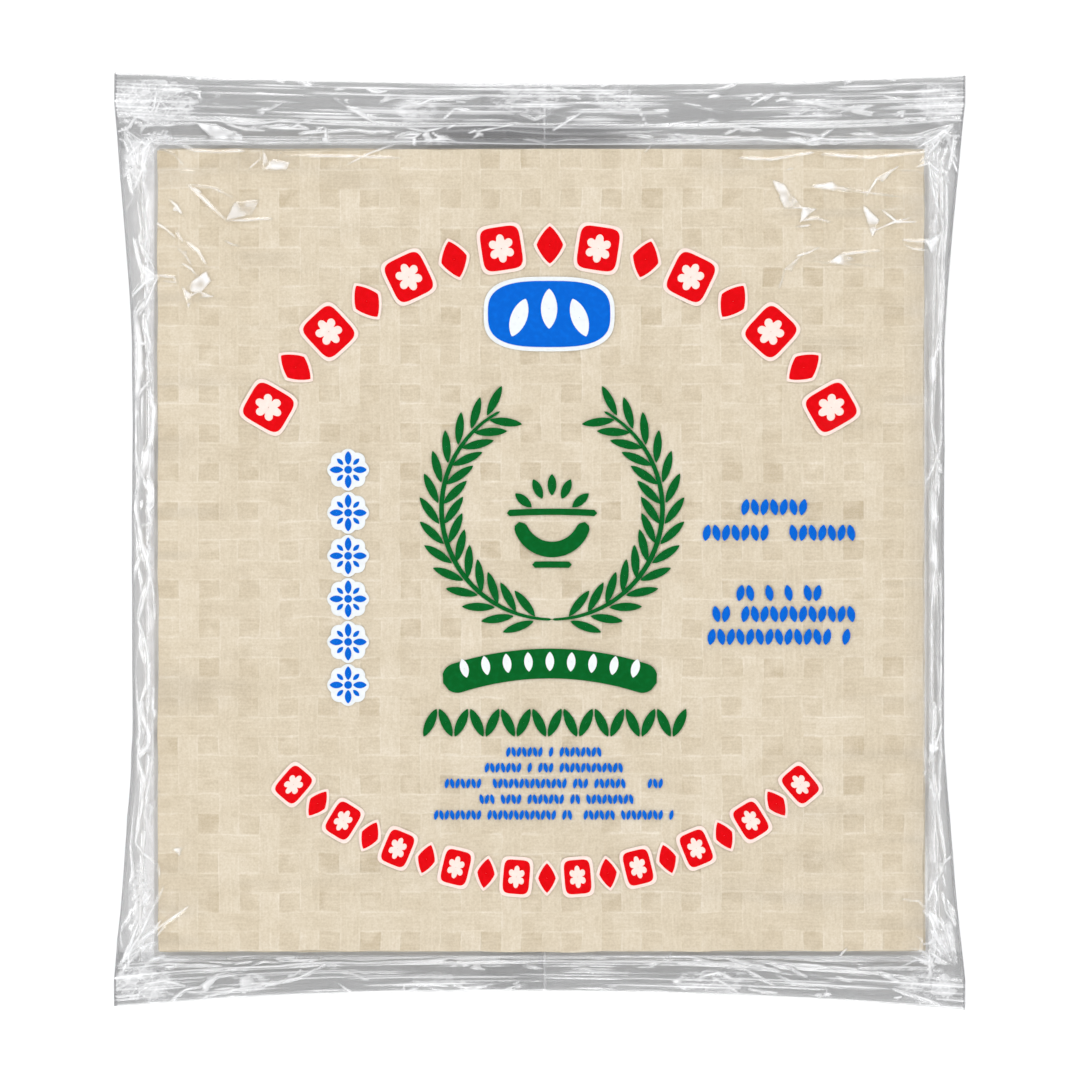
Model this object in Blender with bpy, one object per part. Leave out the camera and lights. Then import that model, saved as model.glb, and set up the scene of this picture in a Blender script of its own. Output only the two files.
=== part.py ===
"""A sealed clear bag that holds a stack of square rice papers, as one closed solid.

The bag is a flow-wrapped film tube: it lies tight over and under the stack, folds along its two
long sides, and is crimped flat into a ribbed fin at each end.
The origin is at the bottom centre, +Y runs towards the deeper crimped end and +Z is up.
Run with: blender --background --python part.py
"""

import math

import bmesh
import bpy
import numpy as np

MM = 0.001

# The stack of papers inside.
PAPER_WIDTH = 215 * MM
PAPER_LENGTH = 225 * MM
STACK_HEIGHT = 12.5 * MM
STACK_SHIFT_X = 0.6 * MM
STACK_SHIFT_Y = -2.6 * MM

# The flat outline of the bag, widest and longest at the four corners of its crimped ends.
BAG_WIDTH = 241.0 * MM
BAG_LENGTH = 264.2 * MM
WAIST_LEFT = 115.3 * MM
WAIST_RIGHT = 114.6 * MM
WAIST_LENGTH = 110 * MM
FAR_END_SAG = 2.7 * MM
NEAR_END_SAG = 4.8 * MM
FLARE_POWER = 1.25
SAG_POWER = 2.2

# The film and its crimped fins. Two plies of film stand as one thin wall.
FILM_SLACK = 0.4 * MM
FIN_THICKNESS = 0.8 * MM
FAR_SEAL_DEPTH = 12.0 * MM
NEAR_SEAL_DEPTH = 8.5 * MM
RIB_HEIGHT = 0.22 * MM
RIB_PITCH = 2.0 * MM

# Where the folded sides and the fins hang, measured at the middle of their thickness.
FOLD_HEIGHT = 1.3 * MM
CORNER_DROOP = 0.2 * MM
RIPPLE_HEIGHT = 0.25 * MM
RIPPLE_ACROSS = 68 * MM
RIPPLE_ALONG = 91 * MM
DROOP_POWER = 4

# Spans of the grid that is wrapped round the bag.
MARGIN_SPANS = 5
STACK_SPANS_X = 14
STACK_SPANS_Y = 16
SLOPE_SPANS = 4

HALF_WIDTH = BAG_WIDTH / 2
HALF_LENGTH = BAG_LENGTH / 2
STACK_LEFT = STACK_SHIFT_X - PAPER_WIDTH / 2
STACK_RIGHT = STACK_SHIFT_X + PAPER_WIDTH / 2
STACK_NEAR = STACK_SHIFT_Y - PAPER_LENGTH / 2
STACK_FAR = STACK_SHIFT_Y + PAPER_LENGTH / 2
FILM_COLOUR = (0.86, 0.84, 0.78, 1.0)
FILM_ROUGHNESS = 0.12
SHARP_ANGLE = math.radians(30)


def clear_scene():
    """Removes whatever the scene holds."""
    for obj in list(bpy.data.objects):
        bpy.data.objects.remove(obj)


def film_material():
    """Glossy clear film with the cream paper showing through."""
    material = bpy.data.materials.new("clear_film")
    material.use_nodes = True
    shader = material.node_tree.nodes["Principled BSDF"]
    shader.inputs["Base Color"].default_value = FILM_COLOUR
    shader.inputs["Roughness"].default_value = FILM_ROUGHNESS
    shader.inputs["Metallic"].default_value = 0.0
    return material


def side_reach(y, waist):
    """How far a folded side stands from the centre: the waist, flaring to the full half width at the
    ends by a power of the way past the waist."""
    past_waist = max(0.0, abs(y) - WAIST_LENGTH / 2) / (HALF_LENGTH - WAIST_LENGTH / 2)
    return waist + (HALF_WIDTH - waist) * min(past_waist, 1.0) ** FLARE_POWER


def end_reach(x, sag):
    """How far an end's cut edge stands from the centre: full at the corners, sagging in the middle."""
    return HALF_LENGTH - sag * (1 - min(abs(x) / HALF_WIDTH, 1.0) ** SAG_POWER)


def fold_height(x, y):
    """Height of the middle of the folded sides and fins: a slow ripple that droops at the corners."""
    ripple = math.sin(2 * math.pi * (x / RIPPLE_ACROSS + y / RIPPLE_ALONG))
    corner = (abs(x) / HALF_WIDTH * abs(y) / HALF_LENGTH) ** DROOP_POWER
    return FOLD_HEIGHT + RIPPLE_HEIGHT * ripple - CORNER_DROOP * corner


def stations(*zones):
    """Grid positions for zones in turn: each whole number starts a zone, cut into its number of spans."""
    values = [zone + step / spans for zone, spans in enumerate(zones) for step in range(spans)]
    return values + [float(len(zones))]


def rib(distance, depth):
    """Zigzag height of the crimp at a distance from the cut edge, nothing at the edge or past depth."""
    if distance <= 0 or distance >= depth:
        return 0.0
    phase = (distance / RIB_PITCH) % 1.0
    return RIB_HEIGHT * (1 - abs(2 * phase - 1))


def place(u, v):
    """Maps a grid position to its place in plan and to how fully the film is raised by the stack.

    Across, zones are the left margin, the stack and the right margin. Along, they are the near fin,
    the slope up to the stack, the stack, the slope down and the far fin.
    """
    y_flat = np.interp(v, [0, 2, 3, 5], [-HALF_LENGTH, STACK_NEAR, STACK_FAR, HALF_LENGTH])
    left = -side_reach(y_flat, WAIST_LEFT)
    right = side_reach(y_flat, WAIST_RIGHT)
    x = float(np.interp(u, [0, 1, 2, 3], [left, STACK_LEFT, STACK_RIGHT, right]))
    near = -end_reach(x, NEAR_END_SAG)
    far = end_reach(x, FAR_END_SAG)
    lines = [near, near + NEAR_SEAL_DEPTH, STACK_NEAR, STACK_FAR, far - FAR_SEAL_DEPTH, far]
    y = float(np.interp(v, range(6), lines))
    raised_across = np.interp(u, [0, 1, 2, 3], [0, 1, 1, 0])
    raised_along = np.interp(v, [0, 1, 2, 3, 4, 5], [0, 0, 1, 1, 0, 0])
    ribs = rib(y - near, NEAR_SEAL_DEPTH) + rib(far - y, FAR_SEAL_DEPTH)
    return x, y, min(raised_across, raised_along), ribs


def heights(x, y, raised, ribs):
    """Heights of the lower and upper film at a point in plan."""
    fold = fold_height(x, y) + ribs
    lower = (fold - FIN_THICKNESS / 2) * (1 - raised)
    upper = fold + FIN_THICKNESS / 2
    return lower, upper + (STACK_HEIGHT + FILM_SLACK - upper) * raised


def sealed_bag(collection):
    """Wraps a grid round the stack: its faces are extruded once, then each side takes its own height."""
    across = stations(MARGIN_SPANS, STACK_SPANS_X, MARGIN_SPANS)
    near_spans = round(2 * NEAR_SEAL_DEPTH / RIB_PITCH)
    far_spans = round(2 * FAR_SEAL_DEPTH / RIB_PITCH)
    along = stations(near_spans, SLOPE_SPANS, STACK_SPANS_Y, SLOPE_SPANS, far_spans)
    mesh = bpy.data.meshes.new("sealed_bag")
    shape = bmesh.new()
    columns, rows = len(across) - 1, len(along) - 1
    bmesh.ops.create_grid(shape, x_segments=columns, y_segments=rows, size=1)
    lower_faces = shape.faces[:]
    extruded = bmesh.ops.extrude_face_region(shape, geom=lower_faces, use_keep_orig=True)
    upper = {item for item in extruded["geom"] if isinstance(item, bmesh.types.BMVert)}
    for vertex in shape.verts:
        u = across[round((vertex.co.x + 1) / 2 * columns)]
        v = along[round((vertex.co.y + 1) / 2 * rows)]
        x, y, raised, ribs = place(u, v)
        low, high = heights(x, y, raised, ribs)
        vertex.co = (x, y, high if vertex in upper else low)
    bmesh.ops.recalc_face_normals(shape, faces=shape.faces[:])
    shape.to_mesh(mesh)
    shape.free()
    mesh.materials.append(film_material())
    mesh.shade_smooth()
    mesh.set_sharp_from_angle(angle=SHARP_ANGLE)
    bag = bpy.data.objects.new("sealed_bag", mesh)
    collection.objects.link(bag)


def main():
    """Builds the bag in a collection named for the object."""
    clear_scene()
    collection = bpy.data.collections.new("rice_paper_pack")
    bpy.context.scene.collection.children.link(collection)
    sealed_bag(collection)


main()
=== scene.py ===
"""Looks of a sealed clear pack of square rice papers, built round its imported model.

The pack lies on its back on a pale table and is seen from straight above. Its film is a tube: a front and a
back ply that meet in a fold along each long side and are crimped into a ribbed fin at each end. Inside lies a
stack of woven rice papers, and plain printed shapes sit on the inner face of the front ply.
All lengths are in metres, +Y runs towards the deeper fin and +Z is up.
"""

from __future__ import annotations

import logging
import math
from dataclasses import dataclass
from enum import Enum
from typing import Any, Callable

import bpy
import numpy as np
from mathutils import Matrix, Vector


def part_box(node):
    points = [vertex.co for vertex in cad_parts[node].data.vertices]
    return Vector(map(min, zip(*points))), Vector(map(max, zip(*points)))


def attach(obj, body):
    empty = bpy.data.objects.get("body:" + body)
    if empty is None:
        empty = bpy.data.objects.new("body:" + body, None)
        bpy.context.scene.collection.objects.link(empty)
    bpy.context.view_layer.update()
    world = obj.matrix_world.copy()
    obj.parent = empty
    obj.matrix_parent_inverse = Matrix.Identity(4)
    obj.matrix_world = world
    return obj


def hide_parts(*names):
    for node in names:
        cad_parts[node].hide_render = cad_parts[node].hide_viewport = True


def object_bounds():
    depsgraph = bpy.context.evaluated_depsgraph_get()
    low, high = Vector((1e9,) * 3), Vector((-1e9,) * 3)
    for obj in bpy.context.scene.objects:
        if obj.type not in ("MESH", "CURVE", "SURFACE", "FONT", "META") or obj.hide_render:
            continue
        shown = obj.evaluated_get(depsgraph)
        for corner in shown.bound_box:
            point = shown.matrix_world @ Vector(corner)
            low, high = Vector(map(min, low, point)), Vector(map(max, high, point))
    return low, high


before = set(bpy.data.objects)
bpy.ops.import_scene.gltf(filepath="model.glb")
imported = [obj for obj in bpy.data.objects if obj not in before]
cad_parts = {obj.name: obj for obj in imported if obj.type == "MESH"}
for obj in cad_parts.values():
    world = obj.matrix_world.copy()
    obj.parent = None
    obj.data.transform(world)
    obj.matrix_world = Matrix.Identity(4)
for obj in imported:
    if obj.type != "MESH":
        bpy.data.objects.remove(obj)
CAD_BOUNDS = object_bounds()

Array = np.ndarray
Colour = tuple[float, float, float]
LOG = logging.getLogger("rice_paper_pack")

MM = 0.001
BODY = "root"
BAG_NODE = "sealed_bag"


# ---------------------------------------------------------------- numbers


def ease(low: float, high: float, value: Array) -> Array:
    """Smooth step from 0 at low to 1 at high."""
    t = np.clip((value - low) / (high - low), 0.0, 1.0)
    return t * t * (3.0 - 2.0 * t)


def tent(value: Array) -> Array:
    """A ridge of unit height and unit half width: 1 - |value|, with a softened top, 0 outside."""
    inside = np.clip(1.0 - np.abs(value), 0.0, 1.0)
    return inside * (1.0 - 0.25 * inside**3) / 0.75


def spread(start: float, stop: float, step: float) -> Array:
    """Evenly spaced numbers from start to stop, no further apart than step."""
    return np.linspace(start, stop, max(2, math.ceil(abs(stop - start) / step) + 1))


@dataclass(frozen=True)
class SmoothNoise:
    """Seeded random heights on a lattice, blended between its points by an eased bilinear mix.

    Attributes:
        seed: Seed of the lattice's random numbers.
        cell_x: Width of a lattice cell.
        cell_y: Length of a lattice cell.
    """

    seed: int
    cell_x: float
    cell_y: float

    def __call__(self, x: Array, y: Array) -> Array:
        """Heights from -1 to 1 at the points x, y."""
        side = 128
        table = np.random.default_rng(self.seed).uniform(-1.0, 1.0, (side, side))
        u = x / self.cell_x + side / 2
        v = y / self.cell_y + side / 2
        column = np.floor(u).astype(int)
        row = np.floor(v).astype(int)
        s = ease(0.0, 1.0, u - column)
        t = ease(0.0, 1.0, v - row)
        here, right = column % side, (column + 1) % side
        below, above = row % side, (row + 1) % side
        low = table[below, here] * (1 - s) + table[below, right] * s
        high = table[above, here] * (1 - s) + table[above, right] * s
        return low * (1 - t) + high * t


@dataclass(frozen=True)
class Crumple:
    """Crushed film: the distance to the nearest of one seeded point in each lattice cell.

    The distance makes shallow cones that meet in straight creases, as crushed film does.

    Attributes:
        seed: Seed of the points.
        cell_x: Width of a lattice cell.
        cell_y: Length of a lattice cell.
    """

    seed: int
    cell_x: float
    cell_y: float

    def __call__(self, x: Array, y: Array) -> Array:
        """Height, in cells, and whiteness at the points x, y.

        Places almost as near to a second point lie on a crease and carry a painted glint, and some cells carry a
        painted reflection of their facet.
        """
        side = 128
        offset_x, offset_y, tone = np.random.default_rng(self.seed).uniform(0.0, 1.0, (3, side, side))
        u = x / self.cell_x + side / 2
        v = y / self.cell_y + side / 2
        column = np.floor(u).astype(int)
        row = np.floor(v).astype(int)
        nearest = np.full(u.shape, 9.0)
        second = np.full(u.shape, 9.0)
        facet = np.zeros(u.shape)
        for step_x in (-1, 0, 1):
            for step_y in (-1, 0, 1):
                cell_u, cell_v = column + step_x, row + step_y
                cell = cell_v % side, cell_u % side
                distance = np.hypot(u - cell_u - offset_x[cell], v - cell_v - offset_y[cell])
                # Each cell's random tone becomes a painted reflection of its facet.
                facet = np.where(distance < nearest, tone[cell], facet)
                second = np.minimum(second, np.maximum(distance, nearest))
                nearest = np.minimum(nearest, distance)
        return np.stack([nearest - 0.45, np.maximum(tent((second - nearest) / 0.12), 0.8 * facet**3)])


# ---------------------------------------------------------------- meshes


def make_piece(name: str, points: Array, faces: Array, material: bpy.types.Material,
               uv: Array | None = None, tags: dict[str, Array] | None = None) -> bpy.types.Object:
    """Makes a smooth mesh object at the origin from whole arrays.

    Args:
        name: Name of the object and its mesh.
        points: Vertex places, one row of three numbers each.
        faces: Quads, one row of four vertex numbers each.
        material: The finish.
        uv: Place of each vertex in the piece's own pattern, or None.
        tags: Named numbers for each vertex that the finish reads.

    Returns:
        The linked object.
    """
    mesh = bpy.data.meshes.new(name)
    mesh.vertices.add(len(points))
    mesh.vertices.foreach_set("co", points.astype(np.float32).ravel())
    mesh.loops.add(faces.size)
    mesh.loops.foreach_set("vertex_index", faces.astype(np.int32).ravel())
    mesh.polygons.add(len(faces))
    mesh.polygons.foreach_set("loop_start", np.arange(0, faces.size, 4, dtype=np.int32))
    mesh.polygons.foreach_set("use_smooth", np.ones(len(faces), dtype=bool))
    mesh.update(calc_edges=True)
    mesh.validate()
    if uv is not None:
        layer = mesh.uv_layers.new(name="UVMap")
        layer.data.foreach_set("uv", uv[faces.ravel()].astype(np.float32).ravel())
    for tag, values in (tags or {}).items():
        attribute = mesh.attributes.new(tag, "FLOAT", "POINT")
        attribute.data.foreach_set("value", values.astype(np.float32).ravel())
    mesh.materials.append(material)
    piece = bpy.data.objects.new(name, mesh)
    bpy.context.scene.collection.objects.link(piece)
    return piece


def grid_faces(rows: int, columns: int, wrap: bool = False) -> Array:
    """Quads of a grid whose points are numbered along each row in turn.

    Args:
        rows: Count of rows.
        columns: Count of points in a row.
        wrap: Whether each row closes on itself.

    Returns:
        One row of four vertex numbers for each quad.
    """
    row, column = np.meshgrid(np.arange(rows - 1), np.arange(columns if wrap else columns - 1), indexing="ij")
    onward = (column + 1) % columns
    corners = [row * columns + column, row * columns + onward,
               (row + 1) * columns + onward, (row + 1) * columns + column]
    return np.stack(corners, axis=-1).reshape(-1, 4)


def many_grids(faces: Array, per_grid: int, count: int) -> Array:
    """The same grid's quads for several grids whose points follow each other."""
    shift = np.arange(count)[:, None, None] * per_grid
    return (faces[None] + shift).reshape(-1, 4)


def hand_over(piece: bpy.types.Object, slot: str, replaces: bool = False) -> None:
    """Rides a piece on the pack's body, hides the plain solid if it stands for it, and logs it with its finish slot's
    name.

    Args:
        piece: The piece.
        slot: Name of the piece's finish slot, for the log.
        replaces: Whether the piece stands for the plain solid of the bag.
    """
    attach(piece, BODY)
    if replaces:
        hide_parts(BAG_NODE)
    LOG.info("%s: %d faces, slot %s", piece.name, len(piece.data.polygons), slot)


# ---------------------------------------------------------------- shader maths


class Value:
    """A number that varies over a surface: arithmetic on it adds Math nodes."""

    def __init__(self, recipe: Recipe, socket: bpy.types.NodeSocket) -> None:
        """Wraps an output socket of the recipe's node tree."""
        self.recipe = recipe
        self.socket = socket

    def maths(self, operation: str, *others: Value | float) -> Value:
        """Adds a Math node whose first input is this value."""
        inputs = dict(enumerate((self, *others)))
        return self.recipe.value("ShaderNodeMath", {"operation": operation}, inputs)

    def __add__(self, other: Value | float) -> Value:
        """This plus other."""
        return self.maths("ADD", other)

    __radd__ = __add__

    def __sub__(self, other: Value | float) -> Value:
        """This minus other."""
        return self.maths("SUBTRACT", other)

    def __rsub__(self, other: float) -> Value:
        """Other minus this."""
        return self.maths("MULTIPLY", -1.0).maths("ADD", other)

    def __mul__(self, other: Value | float) -> Value:
        """This times other."""
        return self.maths("MULTIPLY", other)

    __rmul__ = __mul__

    def __truediv__(self, other: Value | float) -> Value:
        """This over other."""
        return self.maths("DIVIDE", other)

    def __mod__(self, other: float) -> Value:
        """What is left of this after whole multiples of other."""
        return self.maths("FLOORED_MODULO", other)

    def floor(self) -> Value:
        """The whole number below."""
        return self.maths("FLOOR")

    def __abs__(self) -> Value:
        """The size without its sign."""
        return self.maths("ABSOLUTE")

    def limited(self) -> Value:
        """This held between 0 and 1."""
        return self.maths("MINIMUM", 1.0).maths("MAXIMUM", 0.0)

    def between(self, low: float, high: float) -> Value:
        """Smooth step from 0 at low to 1 at high."""
        inputs = {"Value": self, "From Min": low, "From Max": high}
        return self.recipe.value("ShaderNodeMapRange", {"interpolation_type": "SMOOTHSTEP"}, inputs)


class Recipe:
    """One material's node tree."""

    def __init__(self, name: str) -> None:
        """Starts an empty material of that name."""
        self.material = bpy.data.materials.new(name)
        self.material.use_nodes = True
        self.tree = self.material.node_tree
        self.tree.nodes.clear()

    def node(self, kind: str, settings: dict[str, Any] | None = None,
             inputs: dict[str | int, Any] | None = None) -> bpy.types.Node:
        """Adds a node.

        Args:
            kind: Node type.
            settings: Its properties, set first; "stops" holds a colour ramp's (place, colour) pairs.
            inputs: Value, socket or plain number for each input, by name or number.

        Returns:
            The node.
        """
        made = self.tree.nodes.new(kind)
        for key, value in (settings or {}).items():
            if key == "stops":
                self.set_stops(made.color_ramp, value)
            else:
                setattr(made, key, value)
        for key, value in (inputs or {}).items():
            source = value.socket if isinstance(value, Value) else value
            if isinstance(source, bpy.types.NodeSocket):
                self.tree.links.new(source, made.inputs[key])
            else:
                made.inputs[key].default_value = source
        return made

    def set_stops(self, ramp: bpy.types.ColorRamp, stops: list[tuple[float, Colour]]) -> None:
        """Gives a colour ramp its stops, in rising order."""
        while len(ramp.elements) < len(stops):
            ramp.elements.new(1.0)
        for element, (place, colour) in zip(ramp.elements, stops):
            element.position = place
            element.color = (*colour, 1.0)

    def value(self, kind: str, settings: dict[str, Any] | None = None,
              inputs: dict[str | int, Any] | None = None, output: str | int = 0) -> Value:
        """Adds a node and wraps one of its outputs, as node() and Value say."""
        return Value(self, self.node(kind, settings, inputs).outputs[output])

    def place(self) -> Value:
        """Object coordinates."""
        return self.value("ShaderNodeTexCoord", output="Object")

    def stretched(self, vector: Value, scale: tuple[float, float, float]) -> Value:
        """A vector scaled along each axis."""
        return self.value("ShaderNodeVectorMath", {"operation": "MULTIPLY"}, {0: vector, 1: scale})

    def noise(self, vector: Value, scale: float, detail: float = 2.0, distortion: float = 0.0) -> Value:
        """Soft noise from 0 to 1 on a vector."""
        inputs = {"Vector": vector, "Scale": scale, "Detail": detail, "Distortion": distortion}
        return self.value("ShaderNodeTexNoise", None, inputs, "Fac")

    def tag(self, name: str) -> Value:
        """A number that the mesh holds for each vertex."""
        return self.value("ShaderNodeAttribute", {"attribute_name": name}, None, "Fac")

    def bump(self, height: Value, strength: float, distance: float) -> Value:
        """A normal bent by a height."""
        return self.value("ShaderNodeBump", None, {"Height": height, "Strength": strength, "Distance": distance})

    def finish(self, surface: bpy.types.NodeSocket) -> bpy.types.Material:
        """Ends the tree with this surface."""
        self.node("ShaderNodeOutputMaterial", None, {"Surface": surface})
        return self.material


# ---------------------------------------------------------------- finishes


@dataclass(frozen=True)
class FilmFinish:
    """Clear film: see-through, with a mirror-like share, milky white where it is creased (partly whitened film, partly
    painted glints and sheen) and grey where shade is painted along the folds.

    Attributes:
        name: Material name.
        tint: Light that one ply lets through.
        share: Share of the mirror-like surface seen head on.
        sheen_streak: What streaks of doubled and stretched film, partly a painted whitish sheen, add to the share,
            where it is slack.
        grain: How fast the streaks change along each axis, per metre.
        roughness: Roughness of the mirror-like surface.
        painted_shade: What the painted shade along a fold adds to the share, in grey.
    """

    name: str
    tint: float
    share: float
    sheen_streak: float
    grain: tuple[float, float, float]
    roughness: float
    painted_shade: float = 0.0

    def material(self) -> bpy.types.Material:
        """Builds the material.

        It reads the tags slack, 1 where the film is loose, milk_and_glint, 1 on creases that are whitened or carry a
        painted glint, and painted_shade, 1 along a fold where shade is painted.
        """
        recipe = Recipe(self.name)
        milk_and_glint = recipe.tag("milk_and_glint")
        facing = recipe.value("ShaderNodeFresnel", None, {"IOR": 1.45})
        share = self.share + 0.35 * facing.between(0.05, 0.60) + 0.74 * milk_and_glint
        # Where the film is milky or carries a painted glint, its mirror turns into a diffuse white.
        dull = 2.5 * milk_and_glint
        if self.sheen_streak > 0.0:
            # Streaks of doubled film, partly a painted whitish sheen: more mirror and more diffuse white.
            pull = recipe.noise(recipe.stretched(recipe.place(), self.grain), 1.0, 0.0)
            sheen_streaks = self.sheen_streak * pull.between(0.46, 0.70) * recipe.tag("slack")
            painted_shade = self.painted_shade * recipe.tag("painted_shade")
            share = share + sheen_streaks + painted_shade
            dull = dull + 2.0 * sheen_streaks + 4.0 * painted_shade
            # The painted shade turns the colour grey; painted glints keep it white.
            colour = recipe.value("ShaderNodeMix", {"data_type": "RGBA"}, {
                "Factor": (6.0 * painted_shade - 2.0 * milk_and_glint).limited(), 6: (0.95, 0.95, 0.96, 1.0),
                7: (0.30, 0.30, 0.31, 1.0)}, 2)
        else:
            colour = (0.95, 0.95, 0.96, 1.0)
        gloss = recipe.node("ShaderNodeBsdfPrincipled", None, {
            "Base Color": colour, "Metallic": (1.0 - dull).limited(), "Roughness": self.roughness + 0.15 * milk_and_glint})
        clear = recipe.node("ShaderNodeBsdfTransparent", None, {"Color": (self.tint,) * 3 + (1.0,)})
        mixed = recipe.node("ShaderNodeMixShader", None, {0: share, 1: clear.outputs[0], 2: gloss.outputs[0]})
        return recipe.finish(mixed.outputs[0])


@dataclass(frozen=True)
class PaperFinish:
    """Dry rice paper, imprinted by the woven mat it dried on. The piece's UV map counts the mat's strips.

    Attributes:
        name: Material name.
        dark: Colour of the thinnest spots.
        middle: Colour of most of the sheet.
        light: Colour of the lips along the strips.
    """

    name: str
    dark: Colour = (0.546, 0.457, 0.326)
    middle: Colour = (0.681, 0.597, 0.464)
    light: Colour = (0.809, 0.739, 0.632)

    def weave(self, recipe: Recipe, u: Value, v: Value) -> tuple[Value, Value, Value, Value]:
        """Works out which strip of the mat lies on top at a place, as Weave.upright does.

        Args:
            recipe: The material being built.
            u: Place across, in strips.
            v: Place along, in strips.

        Returns:
            1 where an upright strip is on top, 1 where a level strip lies low, the distance to the nearer
            long edge of the strip on top, from 0 at the edge to 0.5 at its middle, and a random number for
            each stretch of strip between two crossings.
        """
        column, row = u.floor(), v.floor()
        odd_column, odd_row = column % 2.0, row % 2.0
        apart = ((column - row) % 4.0) / 2.0
        upright = odd_column * (1.0 - odd_row * apart)
        low = (1.0 - odd_column) * (1.0 - odd_row)
        level = 1.0 - upright
        across = upright * (u - column) + level * (v - row)
        level_run, upright_run = ((column - row) / 4.0).floor(), ((row - column + 1.0) / 4.0).floor()
        stretch = recipe.value("ShaderNodeCombineXYZ", None, {
            0: level * level_run + upright * column, 1: level * row + upright * upright_run, 2: upright})
        tone = recipe.value("ShaderNodeTexWhiteNoise", {"noise_dimensions": "3D"}, {"Vector": stretch})
        return upright, low, 0.5 - abs(across - 0.5), tone

    def material(self) -> bpy.types.Material:
        """Builds the material."""
        recipe = Recipe(self.name)
        place = recipe.place()
        uv = recipe.value("ShaderNodeTexCoord", output="UV")
        split = recipe.node("ShaderNodeSeparateXYZ", None, {0: uv})
        u, v = Value(recipe, split.outputs["X"]), Value(recipe, split.outputs["Y"])
        wobble = recipe.noise(place, 260.0, 1.0) - 0.5
        upright, low, depth, strip = self.weave(recipe, u + 0.10 * wobble, v - 0.10 * wobble)
        _, low_below, depth_below, _ = self.weave(recipe, u + 0.37 - 0.2 * wobble, v + 1.22 + 0.2 * wobble)
        fibres = recipe.value("ShaderNodeCombineXYZ", None, {
            0: u * (0.9 + 7.6 * upright), 1: v * (8.5 - 7.6 * upright)})
        grain = recipe.noise(fibres, 1.0, 2.0)
        specks = recipe.noise(place, 1900.0, 2.0)
        patches = recipe.noise(recipe.stretched(uv, (0.35, 0.55, 1.0)), 1.0, 2.0)
        blots = recipe.noise(uv, 1.1, 1.0).between(0.30, 0.62)
        lip = 1.0 - depth.between(0.02, 0.10)
        lip_below = 1.0 - depth_below.between(0.02, 0.09)
        broken = patches.between(0.30, 0.60)
        cell = recipe.value("ShaderNodeCombineXYZ", None, {0: u.floor(), 1: v.floor()})
        each = recipe.value("ShaderNodeTexWhiteNoise", {"noise_dimensions": "2D"}, {"Vector": cell})
        tone = (0.43 - low * (0.03 + 0.24 * each * blots) - 0.06 * low_below - 0.07 * blots + 0.04 * upright
                + lip * (0.04 + 0.22 * broken) * (1.0 - 0.4 * upright) + 0.06 * lip_below
                + 0.46 * (grain - 0.5) + 0.80 * (specks - 0.5) + 0.36 * (patches - 0.5) + 0.15 * strip)
        colour = recipe.value("ShaderNodeValToRGB", {
            "stops": [(0.0, self.dark), (0.5, self.middle), (1.0, self.light)]}, {0: tone.limited()})
        surface = recipe.node("ShaderNodeBsdfPrincipled", None, {
            "Base Color": colour, "Roughness": 0.45 + 0.2 * specks, "Specular IOR Level": 0.2,
            "Normal": recipe.bump(specks, 0.3, 0.1 * MM)})
        return recipe.finish(surface.outputs[0])


@dataclass(frozen=True)
class InkFinish:
    """Printing ink on the inner face of the film.

    Attributes:
        name: Material name.
        colour: The ink.
        thin: The ink where it is laid thinner.
    """

    name: str
    colour: Colour
    thin: Colour

    def material(self) -> bpy.types.Material:
        """Builds the material."""
        recipe = Recipe(self.name)
        place = recipe.place()
        cover = recipe.noise(place, 700.0, 3.0).between(0.42, 0.75)
        colour = recipe.value("ShaderNodeMix", {"data_type": "RGBA"}, {
            "Factor": cover, 6: (*self.colour, 1.0), 7: (*self.thin, 1.0)}, 2)
        surface = recipe.node("ShaderNodeBsdfPrincipled", None, {
            "Base Color": colour, "Roughness": 0.45 + 0.15 * cover, "Specular IOR Level": 0.08})
        return recipe.finish(surface.outputs[0])


@dataclass(frozen=True)
class TableFinish:
    """Plain white table top.

    Attributes:
        name: Material name.
        colour: Its white.
    """

    name: str = "table_white"
    colour: Colour = (0.96, 0.96, 0.96)

    def material(self) -> bpy.types.Material:
        """Builds the material."""
        recipe = Recipe(self.name)
        surface = recipe.node("ShaderNodeBsdfPrincipled", None, {
            "Base Color": (*self.colour, 1.0), "Roughness": 0.9, "Specular IOR Level": 0.1})
        return recipe.finish(surface.outputs[0])


# ---------------------------------------------------------------- the pack's form


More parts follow.
